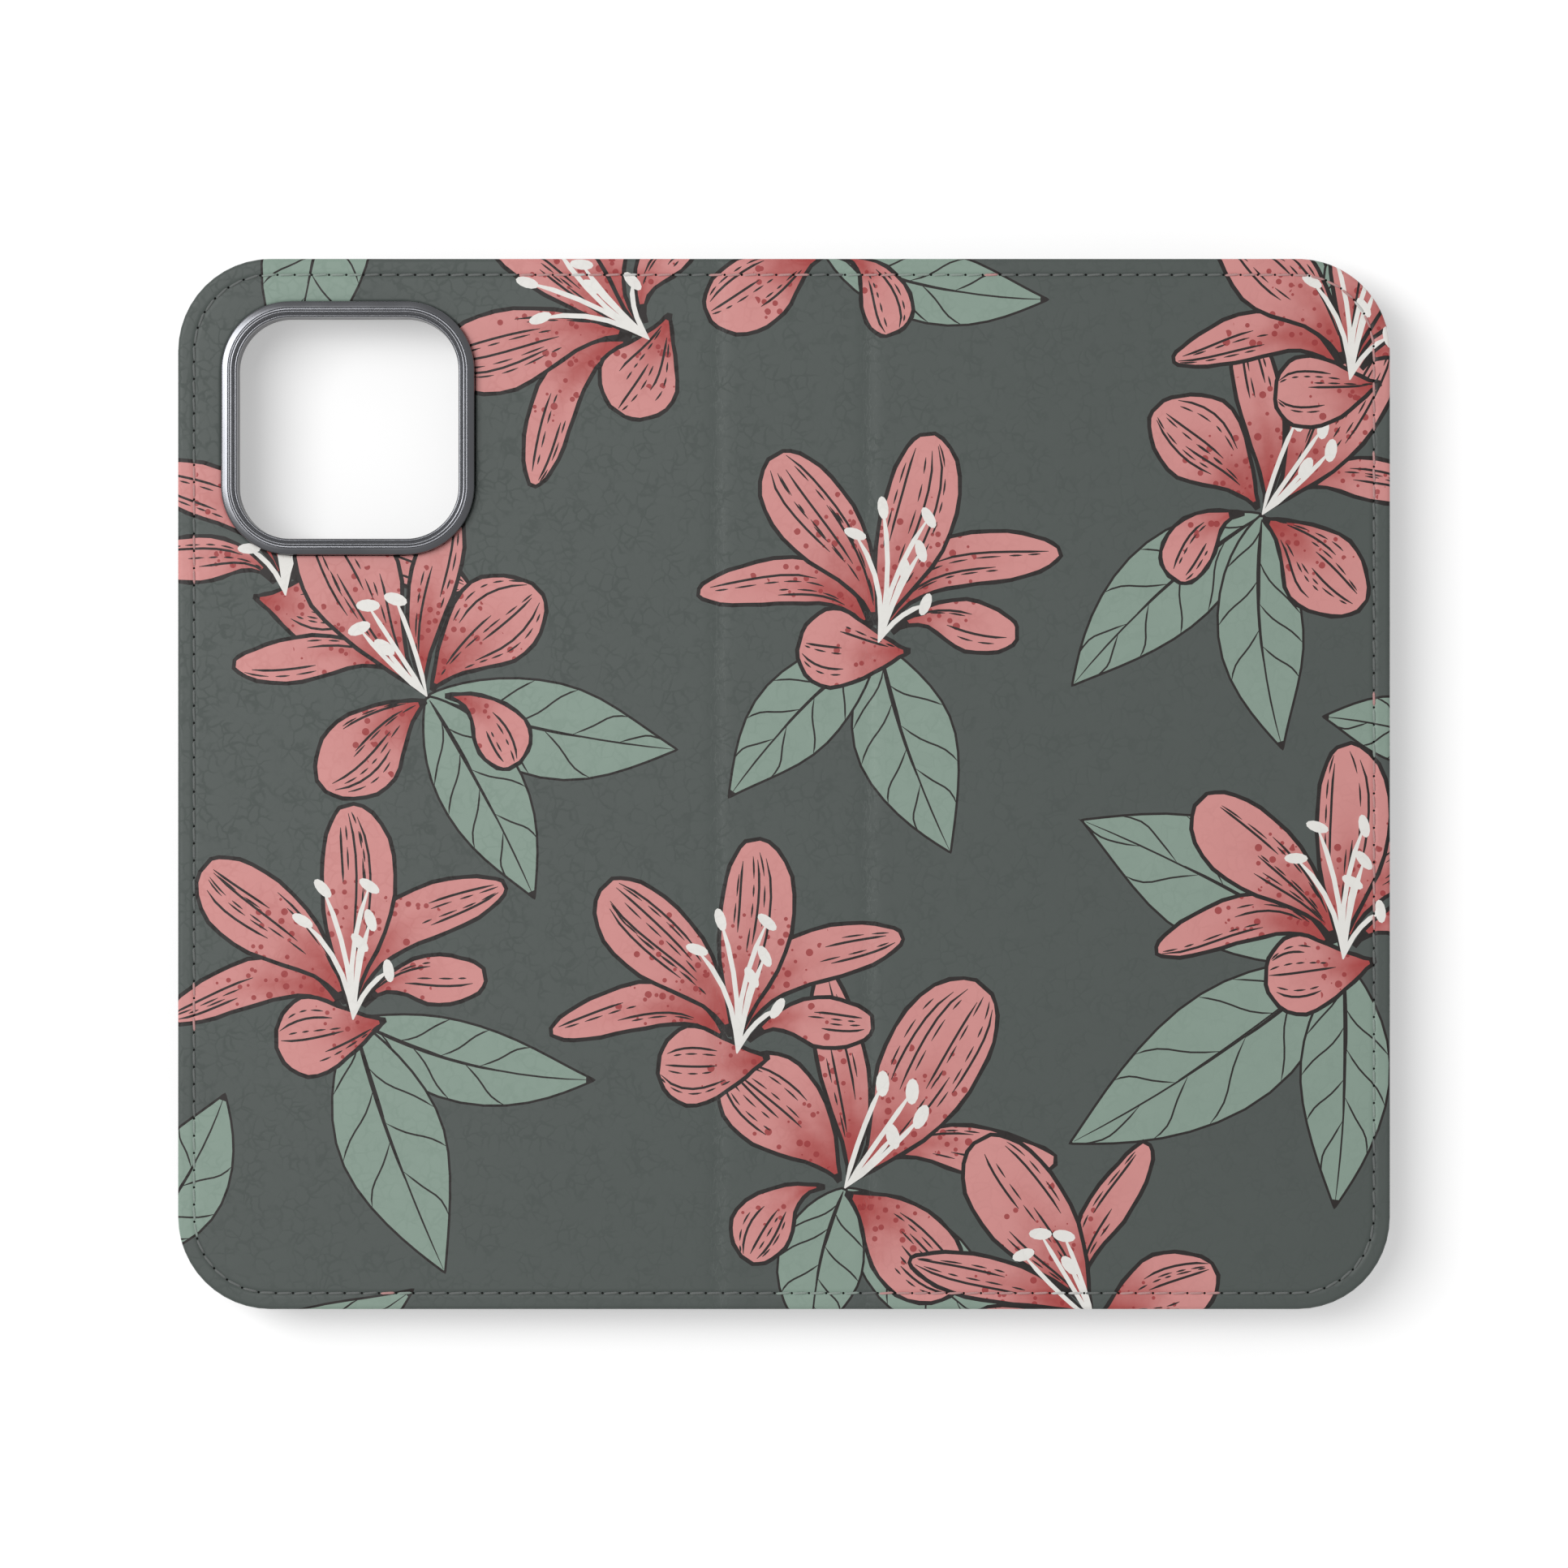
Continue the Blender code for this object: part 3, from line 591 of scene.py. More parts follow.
def buildSkin(name, side, material):
    roundness = cover["edgeRound"]
    region = outlineRun(roundness * (1 - math.pi / 2) - sideFall, side, midSpine)
    insets = [roundness * (1 - math.radians(a)) for a in (0, 22.5, 45, 67.5, 90)] + [roundness + 0.35]
    insets += [seam["inset"] + step for step in (-0.8, -0.55, -0.3, -0.12, 0.12, 0.3, 0.55, 0.8)]
    lines = creaseLines(side) + [outlineRun(inset, side, midSpine) for inset in insets]
    windows = []
    if side < 0:
        windows.append(squareLoop(windowCentre, windowHalf, cover["windowCorner"]))
        for step in (0.1, 0.22, 0.36, 0.6):
            loop = squareLoop(windowCentre, windowHalf + step, cover["windowCorner"] + step)
            lines.append(loop + loop[:1])
    lines += [[place, place + Vector((0.01, 0))] for place in needleHoles]
    reach = Vector((halfX + 2.5, halfY + 2.5))
    drawn = [shape for shape in shapes if any(
        (p.x - midSpine) * side > 0 and abs(p.x) < reach.x and abs(p.y) < reach.y for p in shape["points"])]
    flat, triangles, owners = layOut(region, windows, drawn, lines)
    placed = placeSkin(flat)
    for place in needleHoles:
        inHole = np.linalg.norm(flat - np.array(place), axis=1) < seam["holeRadius"] / 2
        placed[inHole, 2] -= seam["holeDepth"]
    skin = addSheet(name, placed, triangles, material)
    paintSkin(skin.data, flat, triangles, owners, drawn)
    thicken(skin, cover["skinThickness"])
    return skin


# Materials
def addNode(tree, kind, inputs=None, **settings):
    node = tree.nodes.new(kind)
    for setting, value in settings.items():
        setattr(node, setting, value)
    for socket, value in (inputs or {}).items():
        if isinstance(value, bpy.types.NodeSocket):
            tree.links.new(value, node.inputs[socket])
        else:
            node.inputs[socket].default_value = value
    return node


def newMaterial(name, constants):
    material = bpy.data.materials.new(name)
    material.use_nodes = True
    shader = material.node_tree.nodes["Principled BSDF"]
    for socket, value in constants.items():
        shader.inputs[socket].default_value = value
    return material, material.node_tree, shader


def newGroup(name, inputs, outputs):
    # Inputs are on a vector, then numbers with their values, and every output is a number
    group = bpy.data.node_groups.new(name, "ShaderNodeTree")
    group.interface.new_socket("Vector", in_out="INPUT", socket_type="NodeSocketVector")
    for socket, value in inputs.items():
        made = group.interface.new_socket(socket, in_out="INPUT", socket_type="NodeSocketFloat")
        made.default_value = value
    for socket in outputs:
        group.interface.new_socket(socket, in_out="OUTPUT", socket_type="NodeSocketFloat")
    return group, addNode(group, "NodeGroupInput").outputs, addNode(group, "NodeGroupOutput").inputs


def useGroup(tree, group, inputs):
    return addNode(tree, "ShaderNodeGroup", inputs, node_tree=group).outputs


def maths(tree, operation, *values):
    return addNode(tree, "ShaderNodeMath", dict(enumerate(values)), operation=operation).outputs[0]


def product(tree, *values):
    result = values[0]
    for value in values[1:]:
        result = maths(tree, "MULTIPLY", result, value)
    return result


def ramp(tree, value, low, high, fromLow=0.0, fromHigh=1.0):
    # Eases a value from one range to another
    return addNode(tree, "ShaderNodeMapRange", {0: value, 1: fromLow, 2: fromHigh, 3: low, 4: high},
                   interpolation_type="SMOOTHSTEP").outputs[0]


def mixColour(tree, share, first, second, blend="MIX"):
    first, second = (value if isinstance(value, bpy.types.NodeSocket) else (*value, 1.0)
                     for value in (first, second))
    return addNode(tree, "ShaderNodeMix", {0: share, 6: first, 7: second},
                   data_type="RGBA", blend_type=blend).outputs[2]


def noise(tree, vector, scale, detail=2.0):
    return addNode(tree, "ShaderNodeTexNoise", {"Vector": vector, "Scale": scale, "Detail": detail}).outputs


def scaled(tree, vector, factor):
    return addNode(tree, "ShaderNodeVectorMath", {0: vector, "Scale": factor}, operation="SCALE").outputs[0]


def uvMap(tree, name):
    return addNode(tree, "ShaderNodeUVMap", uv_map=name).outputs[0]


def attribute(tree, name):
    return addNode(tree, "ShaderNodeAttribute", attribute_name=name).outputs


def objectPlace(tree):
    return addNode(tree, "ShaderNodeTexCoord").outputs["Object"]


def grey(tree, tone):
    return addNode(tree, "ShaderNodeCombineColor", {0: tone, 1: tone, 2: tone}).outputs[0]


def tint(colour, factor):
    return [channel * factor for channel in colour]


def addBump(tree, shader, height, strength, distance):
    bump = addNode(tree, "ShaderNodeBump",
                   {"Height": height, "Strength": strength, "Distance": distance * mm})
    tree.links.new(bump.outputs["Normal"], shader.inputs["Normal"])


def makeLeatherGrain():
    # Pebbled grain with wandering wrinkles, on centimetres
    group, given, result = newGroup("leatherGrain", {"Pebbles": 5.5, "Wander": 0.35, "Fine": 22.0},
                                    ("Height", "Tone", "ShadedFurrow"))
    drift = noise(group, given["Vector"], 2.6, 3.0)
    centred = addNode(group, "ShaderNodeVectorMath", {0: drift["Color"], 1: (0.5, 0.5, 0.5)},
                      operation="SUBTRACT").outputs[0]
    wander = scaled(group, centred, given["Wander"])
    bent = addNode(group, "ShaderNodeVectorMath", {0: given["Vector"], 1: wander}, operation="ADD").outputs[0]
    pebbles = {"Vector": bent, "Scale": given["Pebbles"]}
    edges = addNode(group, "ShaderNodeTexVoronoi", pebbles, feature="DISTANCE_TO_EDGE")
    cells = addNode(group, "ShaderNodeTexVoronoi", pebbles)
    tooth = noise(group, bent, given["Fine"], 4.0)
    patches = noise(group, given["Vector"], 0.55)
    # Wrinkles come and go, so furrows fade in patches
    shadedFurrow = product(group, ramp(group, edges.outputs["Distance"], 1.0, 0.0, 0.0, 0.16),
                     ramp(group, drift["Fac"], 0.15, 1.0, 0.35, 0.65))
    relief = maths(group, "MULTIPLY_ADD", tooth["Fac"], 0.35, maths(group, "SUBTRACT", 1.0, shadedFurrow))
    tone = maths(group, "MULTIPLY_ADD", cells.outputs["Color"], 0.35, product(group, patches["Fac"], 0.65))
    for socket, value in (("Height", relief), ("Tone", tone), ("ShadedFurrow", shadedFurrow)):
        group.links.new(value, result[socket])
    return group


def makeFineTooth():
    # The slight mottle and tooth of moulded plastic and plated metal, on metres
    group, given, result = newGroup("fineTooth", {"Tooth": 2600.0, "Clouds": 90.0}, ("Height", "Mottle"))
    group.links.new(noise(group, given["Vector"], given["Tooth"], 2.0)["Fac"], result["Height"])
    group.links.new(noise(group, given["Vector"], given["Clouds"], 5.0)["Fac"], result["Mottle"])
    return group


leatherGrain = makeLeatherGrain()
fineTooth = makeFineTooth()

printInk = {
    "throat": fromSrgb(178, 66, 64),
    "blush": fromSrgb(194, 96, 93),
    "tip": fromSrgb(227, 158, 154),
    "speckle": fromSrgb(164, 52, 54),
    "speckleScale": 6.4,         # for each centimetre
    "speckleSize": 0.16,
    "speckleSpread": 0.2,
    "speckleShare": 0.85,
    "leafShade": fromSrgb(136, 158, 145),
    # painted shade: a near-black laid into the grain's furrows
    "shadedFurrow": (0.02, 0.022, 0.021),
    "furrowShadeShare": 0.035,
    # painted sheen: a lighter colour laid along the crease wrinkles
    "sheenedWrinkle": fromSrgb(186, 192, 188),
    "wrinkleScale": (11.0, 3.2, 1.0),
    "wrinkleSheenShare": 0.06,
    "toneSpread": 0.015,
    "roughness": 0.5,
}


def makePrintedLeather():
    material, tree, shader = newMaterial("printedLeather", {"Specular IOR Level": 0.35})
    flatMap = uvMap(tree, "flatMap")
    petalMap = addNode(tree, "ShaderNodeSeparateXYZ", {0: uvMap(tree, "petalMap")}).outputs
    along, across = petalMap[0], maths(tree, "ABSOLUTE", petalMap[1])
    mask = attribute(tree, "bladeMask")["Fac"]
    onPetal = maths(tree, "GREATER_THAN", mask, 0.75)
    onLeaf = product(tree, maths(tree, "GREATER_THAN", mask, 0.25), maths(tree, "LESS_THAN", mask, 0.75))
    wash = noise(tree, flatMap, 2.2, 3.0)["Fac"]
    # Airbrushed petals: red in the throat, a blush along the midrib, pale at the tip
    uneven = maths(tree, "MULTIPLY_ADD", wash, 0.3, maths(tree, "SUBTRACT", along, 0.15))
    throat = ramp(tree, uneven, 0.95, 0.0, 0.08, 0.6)
    blush = product(tree, ramp(tree, across, 0.6, 0.0, 0.0, 0.6), ramp(tree, uneven, 0.9, 0.0, 0.2, 0.85))
    pale = product(tree, ramp(tree, along, 0.0, 0.6, 0.55, 1.0), ramp(tree, wash, 0.4, 1.0))
    # Round speckles of mixed size, thickest over the middle of the petal
    dots = addNode(tree, "ShaderNodeTexVoronoi",
                   {"Vector": flatMap, "Scale": printInk["speckleScale"], "Randomness": 1.0}).outputs
    pick = addNode(tree, "ShaderNodeSeparateColor", {0: dots["Color"]}).outputs
    size = maths(tree, "MULTIPLY_ADD", pick[1], printInk["speckleSpread"], printInk["speckleSize"])
    dense = product(tree, ramp(tree, along, 0.0, 1.0, 0.08, 0.22), ramp(tree, along, 1.0, 0.0, 0.48, 0.75))
    speckled = product(tree, maths(tree, "LESS_THAN", dots["Distance"], size),
                       maths(tree, "LESS_THAN", pick[0], dense))
    grain = useGroup(tree, leatherGrain, {"Vector": flatMap})
    # Fine wrinkles wander along each crease, as bumps with a painted sheen of lighter colour over them
    x = addNode(tree, "ShaderNodeSeparateXYZ", {0: flatMap}).outputs[0]
    toCrease = maths(tree, "MINIMUM", *(maths(tree, "ABSOLUTE", maths(tree, "SUBTRACT", x, crease / 10))
                                        for crease in creases))
    stretched = addNode(tree, "ShaderNodeMapping", {"Vector": flatMap, "Scale": printInk["wrinkleScale"]})
    meander = maths(tree, "SUBTRACT", noise(tree, stretched.outputs[0], 1.0, 4.0)["Fac"], 0.5)
    sheenedWrinkle = product(tree, ramp(tree, maths(tree, "ABSOLUTE", meander), 1.0, 0.0, 0.0, 0.03),
                      ramp(tree, toCrease, 1.0, 0.0, 0.03, 0.17))
    colour = attribute(tree, "ink")["Color"]
    # The furrow colour is painted shade in the grain's furrows, and the wrinkle colour a painted sheen on the
    # crease wrinkles
    for share, over in (
            (product(tree, onPetal, pale), "tip"),
            (product(tree, onPetal, blush), "blush"),
            (product(tree, onPetal, throat), "throat"),
            (product(tree, speckled, onPetal, printInk["speckleShare"]), "speckle"),
            (product(tree, onLeaf, product(tree, wash, 0.5)), "leafShade"),
            (product(tree, grain["ShadedFurrow"], printInk["furrowShadeShare"]), "shadedFurrow"),
            (product(tree, sheenedWrinkle, printInk["wrinkleSheenShare"]), "sheenedWrinkle")):
        colour = mixColour(tree, share, colour, printInk[over])
    tone = ramp(tree, grain["Tone"], 1 - printInk["toneSpread"], 1 + printInk["toneSpread"], 0.25, 0.75)
    colour = mixColour(tree, 1.0, colour, grey(tree, tone), "MULTIPLY")
    tree.links.new(colour, shader.inputs["Base Color"])
    rough = ramp(tree, grain["Height"], printInk["roughness"] + 0.14, printInk["roughness"] - 0.04, 0.2, 1.2)
    tree.links.new(rough, shader.inputs["Roughness"])
    addBump(tree, shader, maths(tree, "SUBTRACT", grain["Height"], sheenedWrinkle), 0.2, 0.03)
    return material


def makePlainLeather(name, colour, pebbles, depth):
    material, tree, shader = newMaterial(name, {"Specular IOR Level": 0.4})
    grain = useGroup(tree, leatherGrain, {"Vector": scaled(tree, objectPlace(tree), 100.0),
                                          "Pebbles": pebbles, "Fine": 40.0, "Wander": 0.2})
    tone = ramp(tree, grain["Tone"], 0.0, 1.0, 0.2, 0.8)
    base = mixColour(tree, tone, tint(colour, 0.86), tint(colour, 1.16))
    # Painted shade: the grain's furrows are darkened toward black
    base = mixColour(tree, product(tree, grain["ShadedFurrow"], 0.35), base, (0.008, 0.008, 0.009))
    tree.links.new(base, shader.inputs["Base Color"])
    tree.links.new(ramp(tree, grain["Height"], 0.68, 0.48, 0.2, 1.2), shader.inputs["Roughness"])
    addBump(tree, shader, grain["Height"], 0.5, depth)
    return material


def makeFinish(name, colour, roughness, metallic=0.0, tooth=2600.0, depth=0.004, spread=0.12):
    # Moulded, plated or coated: one colour with a slight mottle in tone and gloss
    material, tree, shader = newMaterial(name, {"Metallic": metallic})
    skin = useGroup(tree, fineTooth, {"Vector": objectPlace(tree), "Tooth": tooth})
    tone = ramp(tree, skin["Mottle"], 0.0, 1.0, 0.3, 0.7)
    base = mixColour(tree, tone, tint(colour, 1 - spread), tint(colour, 1 + spread))
    tree.links.new(base, shader.inputs["Base Color"])
    gloss = ramp(tree, skin["Mottle"], roughness * 0.85, roughness * 1.15, 0.3, 0.7)
    tree.links.new(gloss, shader.inputs["Roughness"])
    addBump(tree, shader, skin["Height"], 0.4, depth)
    return material


def makeThread(name, colour=None):
    # Twisted thread, whose plies wind round each stitch on its own map; inked stitch by stitch where no
    # colour is given
    material, tree, shader = newMaterial(name, {"Roughness": 0.62, "Sheen Weight": 0.25})
    turned = addNode(tree, "ShaderNodeMapping",
                     {"Vector": uvMap(tree, "twist"), "Rotation": (0.0, 0.0, math.radians(35))})
    plies = addNode(tree, "ShaderNodeTexWave",
                    {"Vector": turned.outputs[0], "Scale": 2.4, "Distortion": 0.6}).outputs["Fac"]
    base = colour or attribute(tree, "ink")["Color"]
    # Painted shade: the grooves between the plies are darkened
    plyShade = mixColour(tree, 1.0, base, (0.72, 0.72, 0.72), "MULTIPLY")
    tree.links.new(mixColour(tree, plies, plyShade, base), shader.inputs["Base Color"])
    addBump(tree, shader, plies, 0.6, 0.05)
    return material


printedLeather = makePrintedLeather()
liningLeather = makePlainLeather("liningLeather", fromSrgb(52, 55, 57), 11.0, 0.05)
pocketLeather = makePlainLeather("pocketLeather", fromSrgb(50, 53, 55), 10.0, 0.05)
printedThread = makeThread("printedThread")
plainThread = makeThread("plainThread", fromSrgb(92, 97, 96))
trayPlastic = makeFinish("trayPlastic", fromSrgb(38, 39, 41), 0.42, tooth=1900.0, depth=0.01)
guardMetal = makeFinish("guardMetal", fromSrgb(120, 121, 125), 0.24, metallic=0.9, depth=0.0, spread=0.03)
# Painted shade: a dark finish for the bore's deep faces, standing in for the shadow inside the ring
guardBoreShade = makeFinish("guardBoreShade", fromSrgb(30, 30, 38), 0.35, depth=0.003)
fibreBoard = makeFinish("fibreBoard", fromSrgb(122, 112, 98), 0.85, tooth=900.0, depth=0.03, spread=0.2)
padFilm = makeFinish("padFilm", fromSrgb(200, 198, 190), 0.35, depth=0.006)
keeperSteel = makeFinish("keeperSteel", fromSrgb(165, 166, 168), 0.32, metallic=1.0, depth=0.002)
magnetNickel = makeFinish("magnetNickel", fromSrgb(188, 184, 176), 0.22, metallic=1.0, depth=0.002)
print("materials made")


# The bodies on either side of each crease, and where the crease lies
backBend = ("back_cover", "spine", creases[0])
frontBend = ("spine", "front_cover", creases[1])


def bendOver(piece):
    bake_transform(piece)


backSkin = buildSkin("backSkin", -1, printedLeather)
frontSkin = buildSkin("frontSkin", 1, printedLeather)
bendOver(backSkin)
bendOver(frontSkin)
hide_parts("back_skin", "spine_skin")
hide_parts("front_skin")
print("printed skins laid over the covers:", len(backSkin.data.polygons), len(frontSkin.data.polygons))


lining = {
    "inset": 0.42,
    "thickness": 0.4,
    "edgeRound": 0.2,
    "edgeReach": 0.4,
    "creaseRise": 1.5,
    "creaseWidth": 1.25,
    "seamDepth": 0.14,
}
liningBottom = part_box("back_lining")[0].z / mm


def placeLining(flat):
    distance, _ = edgeDistance(flat)
    z = np.full(len(flat), liningBottom)
    z += lining["edgeRound"] * np.clip(1 - (distance - lining["inset"]) / lining["edgeReach"], 0, 1) ** 2
    z += lining["seamDepth"] * dip(distance - seam["inset"], cover["seamWidth"])
    z += lining["creaseRise"] * nearCrease(flat[:, 0], lining["creaseWidth"])
    return np.column_stack([flat, z])


def buildLining(name, side, material):
    region = outlineRun(lining["inset"], side, midSpine)
    insets = [lining["inset"] + step for step in (0.1, 0.2, 0.4)]
    insets += [seam["inset"] + step for step in (-0.7, -0.4, -0.2, 0, 0.2, 0.4, 0.7)]
    lines = creaseLines(side) + [outlineRun(inset, side, midSpine) for inset in insets]
    windows = [squareLoop(windowCentre, windowHalf, cover["windowCorner"])] if side < 0 else []
    flat, triangles, _ = layOut(region, windows, [], lines)
    sheet = addSheet(name, placeLining(flat), triangles[:, ::-1], material)
    thicken(sheet, lining["thickness"])
    return sheet


backLining = buildLining("backLining", -1, liningLeather)
frontLining = buildLining("frontLining", 1, liningLeather)
bendOver(backLining)
bendOver(frontLining)
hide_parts("back_lining", "spine_lining")
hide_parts("front_lining")
print("linings laid in")


def stitchTemplate(halfLength, radius, sink):
    # One stitch along X, fat in the middle, its ends turned down into their holes
    stitch = bmesh.new()
    bmesh.ops.create_uvsphere(stitch, u_segments=6, v_segments=7, radius=1.0, calc_uvs=False)
    bmesh.ops.rotate(stitch, verts=stitch.verts, matrix=Matrix.Rotation(math.pi / 2, 3, "Y"))
    twist = stitch.loops.layers.uv.new("twist")
    for face in stitch.faces:
        face.smooth = True
        for loop in face.loops:
            at = loop.vert.co
            loop[twist].uv = (at.x * halfLength * 2, math.atan2(at.z, at.y) / math.pi)
    for vert in stitch.verts:
        along = vert.co.x
        girth = math.sqrt(max(1 - along * along, 1e-9))
        keep = min(1.0, girth * 1.5) / girth
        vert.co = (along * halfLength, vert.co.y * radius * keep,
                   vert.co.z * radius * keep - sink * along ** 6)
    return stitch


def buildStitches(name, holes, grooveZ, facing, material, rise=0.0, riseWidth=1.0):
    # Stitches from hole to hole, facing 1 on the outside and -1 on the lining, which rise with the sheet
    # at a crease
    template = stitchTemplate(seam["pitch"] / 2 - seam["holeGap"], seam["threadRadius"], seam["sink"])
    single = toMesh("stitch", template)
    row = bmesh.new()
    sway = random.Random(5)
    middles = [(start + end) / 2 for start, end in holes]
    owners = topShapes(np.array([tuple(middle) for middle in middles]), printOnly)
    colours = []
    for (start, end), middle, owner in zip(holes, middles, owners):
        run = end - start
        turn = math.atan2(run.y, run.x) + sway.uniform(-seam["sway"], seam["sway"]) + seam["lean"]
        place = Matrix.Translation((middle.x, middle.y, grooveZ + facing * seam["bed"])) @ \
            Matrix.Rotation(turn, 4, "Z") @ Matrix.Rotation(0.0 if facing > 0 else math.pi, 4, "X")
        single.transform(place)
        row.from_mesh(single)
        single.transform(place.inverted())
        under = inks[printOnly[owner]["kind"]] if owner >= 0 else inks["ground"]
        under = inks["petal"] if owner >= 0 and printOnly[owner]["kind"] == "line" else under
        colours.append([channel + (1 - channel) * seam["paler"] * (0.6 + channel) for channel in under])
    mesh = toMesh(name, row)
    places = np.empty(len(mesh.vertices) * 3)
    mesh.vertices.foreach_get("co", places)
    places = places.reshape(-1, 3)
    places[:, 2] += rise * nearCrease(places[:, 0], riseWidth)
    mesh.vertices.foreach_set("co", (places * mm).ravel())
    faces = len(single.polygons)
    inkValues = np.ones((len(mesh.polygons), 4))
    inkValues[:, :3] = np.repeat(np.array(colours), faces, axis=0)
    mesh.attributes.new("ink", "FLOAT_COLOR", "FACE").data.foreach_set("color", inkValues.ravel())
    bpy.data.meshes.remove(single)
    return addPiece(name, mesh, material)


stitchRuns = list(zip(needleHoles, needleHoles[1:] + needleHoles[:1]))
backRuns = [run for run in stitchRuns if (run[0].x + run[1].x) / 2 < midSpine]
frontRuns = [run for run in stitchRuns if (run[0].x + run[1].x) / 2 >= midSpine]
for place, groove, facing, material, rise, riseWidth in (
        ("outer", coverTop - cover["seamDepth"], 1, printedThread,
         -cover["creaseDepth"], cover["creaseWidth"]),
        ("inner", liningBottom + lining["seamDepth"], -1, plainThread,
         lining["creaseRise"], lining["creaseWidth"])):
    for cape, runs, bend, nodes in (
            ("Back", backRuns, backBend, [f"back_{place}_thread", f"spine_{place}_thread_top",
                                          f"spine_{place}_thread_bottom"]),
            ("Front", frontRuns, frontBend, [f"front_{place}_thread"])):
        row = buildStitches(f"{place}Stitches{cape}", runs, groove, facing, material, rise, riseWidth)
        bendOver(row)
        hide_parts(*nodes)
print("seams stitched:", len(stitchRuns), "stitches a side")


def vertsOf(geometry):
    return [item for item in geometry if isinstance(item, bmesh.types.BMVert)]


def ringAround(profile, centre, halfWide, halfHigh, radius, steps=16, closed=True):
    # A section of (inset, height) points carried round a rounded rectangle, one quarter mirrored twice
    ring = bmesh.new()
    cornerX, cornerY = halfWide - radius, halfHigh - radius
    verts = [ring.verts.new((halfWide - inset, cornerY, height)) for inset, height in profile]
    pairs = list(zip(verts, verts[1:] + verts[:1] if closed else verts[1:]))
    section = [ring.edges.new(pair) for pair in pairs]
    turned = bmesh.ops.spin(ring, geom=verts + section, cent=(cornerX, cornerY, 0), axis=(0, 0, 1),
                            angle=math.pi / 2, steps=steps, use_merge=False)
    lastEdges = [item for item in turned["geom_last"] if isinstance(item, bmesh.types.BMEdge)]
    for rim, axis in ((section, 1), (lastEdges, 0)):
        for vert in vertsOf(bmesh.ops.extrude_edge_only(ring, edges=rim)["geom"]):
            vert.co[axis] = 0.0
    for axis in ("X", "Y"):
        whole = ring.verts[:] + ring.edges[:] + ring.faces[:]
        bmesh.ops.mirror(ring, geom=whole, axis=axis, merge_dist=1e-5)
    bmesh.ops.remove_doubles(ring, verts=ring.verts, dist=1e-4)
    bmesh.ops.translate(ring, verts=ring.verts, vec=(*centre, 0))
    bmesh.ops.recalc_face_normals(ring, faces=ring.faces)
    return ring


def finishMesh(name, shape, material, sharpAngle=35):
    bmesh.ops.scale(shape, vec=(mm, mm, mm), verts=shape.verts)
    mesh = toMesh(name, shape)
    mesh.shade_smooth()
    mesh.set_sharp_from_angle(angle=math.radians(sharpAngle))
    return addPiece(name, mesh, material)


def arc(centre, radius, start, end, steps):
    angles = [math.radians(start + (end - start) * i / steps) for i in range(steps + 1)]
    return [(centre[0] + radius * math.cos(a), centre[1] + radius * math.sin(a)) for a in angles]


guard = {                    # insets from the outside, and depths below the top
    "corner": 10.2,
    "round": 0.3,            # outer top edge
    "bandFall": 0.14,        # how far the outer band falls towards the outside
    "band": ((0.35, 0.125), (0.55, 0.075), (0.75, 0.035), (0.95, 0.01)),
    "groove": ((1.03, 0.08), (1.08, 0.22), (1.16, 0.22)),
    "bead": (1.52, 0.3),
    "beadRadius": 0.3,
    "step": ((1.86, 0.42), (1.9, 0.52)),
    "lip": (2.14, 0.75),
    "lipRadius": 0.22,
    "boreDepth": 1.1,
    # Painted shade of the bore, on faces deeper than this and near the bore
    "boreShadeDepth": 0.95,       # faces deeper than this and near the bore are dark
    "boreShadeReach": (0.6, 0.15),
    "wall": 2.4,
    "spigotStep": 1.1,
    "seatGap": 0.3,          # from the spigot's shoulder down to the tray
    "chamfer": 0.1,
}


def buildGuard():
    low, top = guardLow.z, guardHigh.z
    seat = trayHigh.z + guard["seatGap"]
    wall, shoulder, ease = guard["wall"], guard["spigotStep"], guard["chamfer"]

    def below(*places):
        return [(inset, top - depth) for inset, depth in places]

    # A band, a narrow groove, a bead, and a second lower bead before the bore
    profile = arc((guard["round"], top - guard["bandFall"] - guard["round"]), guard["round"], 180, 104, 5)
    profile += below(*guard["band"], *guard["groove"])
    profile += arc(*below(guard["bead"]), guard["beadRadius"], 165, 20, 7)
    profile += below(*guard["step"]) + arc(*below(guard["lip"]), guard["lipRadius"], 130, 5, 5)
    profile += [(wall, top - guard["boreDepth"]), (wall, low + ease), (wall - ease, low)]
    profile += [(shoulder + ease, low), (shoulder, low + ease), (shoulder, seat)]
    profile += [(ease, seat), (0.0, seat + ease)]
    halfWide, halfHigh = (guardHigh.x - guardLow.x) / 2, (guardHigh.y - guardLow.y) / 2
    ring = ringAround(profile, windowCentre, halfWide, halfHigh, guard["corner"], steps=20)
    piece = finishMesh("cameraGuard", ring, guardMetal, 32)
    # The deep faces round the bore take the painted shade
    piece.data.materials.append(guardBoreShade)
    inner = halfWide - wall
    radius = guard["corner"] - wall
    flatReach, cornerReach = guard["boreShadeReach"]
    for face in piece.data.polygons:
        away = face.center / mm - Vector((*windowCentre, 0))
        deep = face.center.z / mm < top - guard["boreShadeDepth"]
        near = max(abs(away.x), abs(away.y)) < inner + flatReach
        corner = Vector((max(abs(away.x) - inner + radius, 0), max(abs(away.y) - inner + radius, 0)))
        if deep and near and corner.length < radius + cornerReach:
            face.material_index = 1
    return piece


cameraGuard = buildGuard()
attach(cameraGuard, "back_cover")
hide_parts("camera_guard")
print("camera guard set")


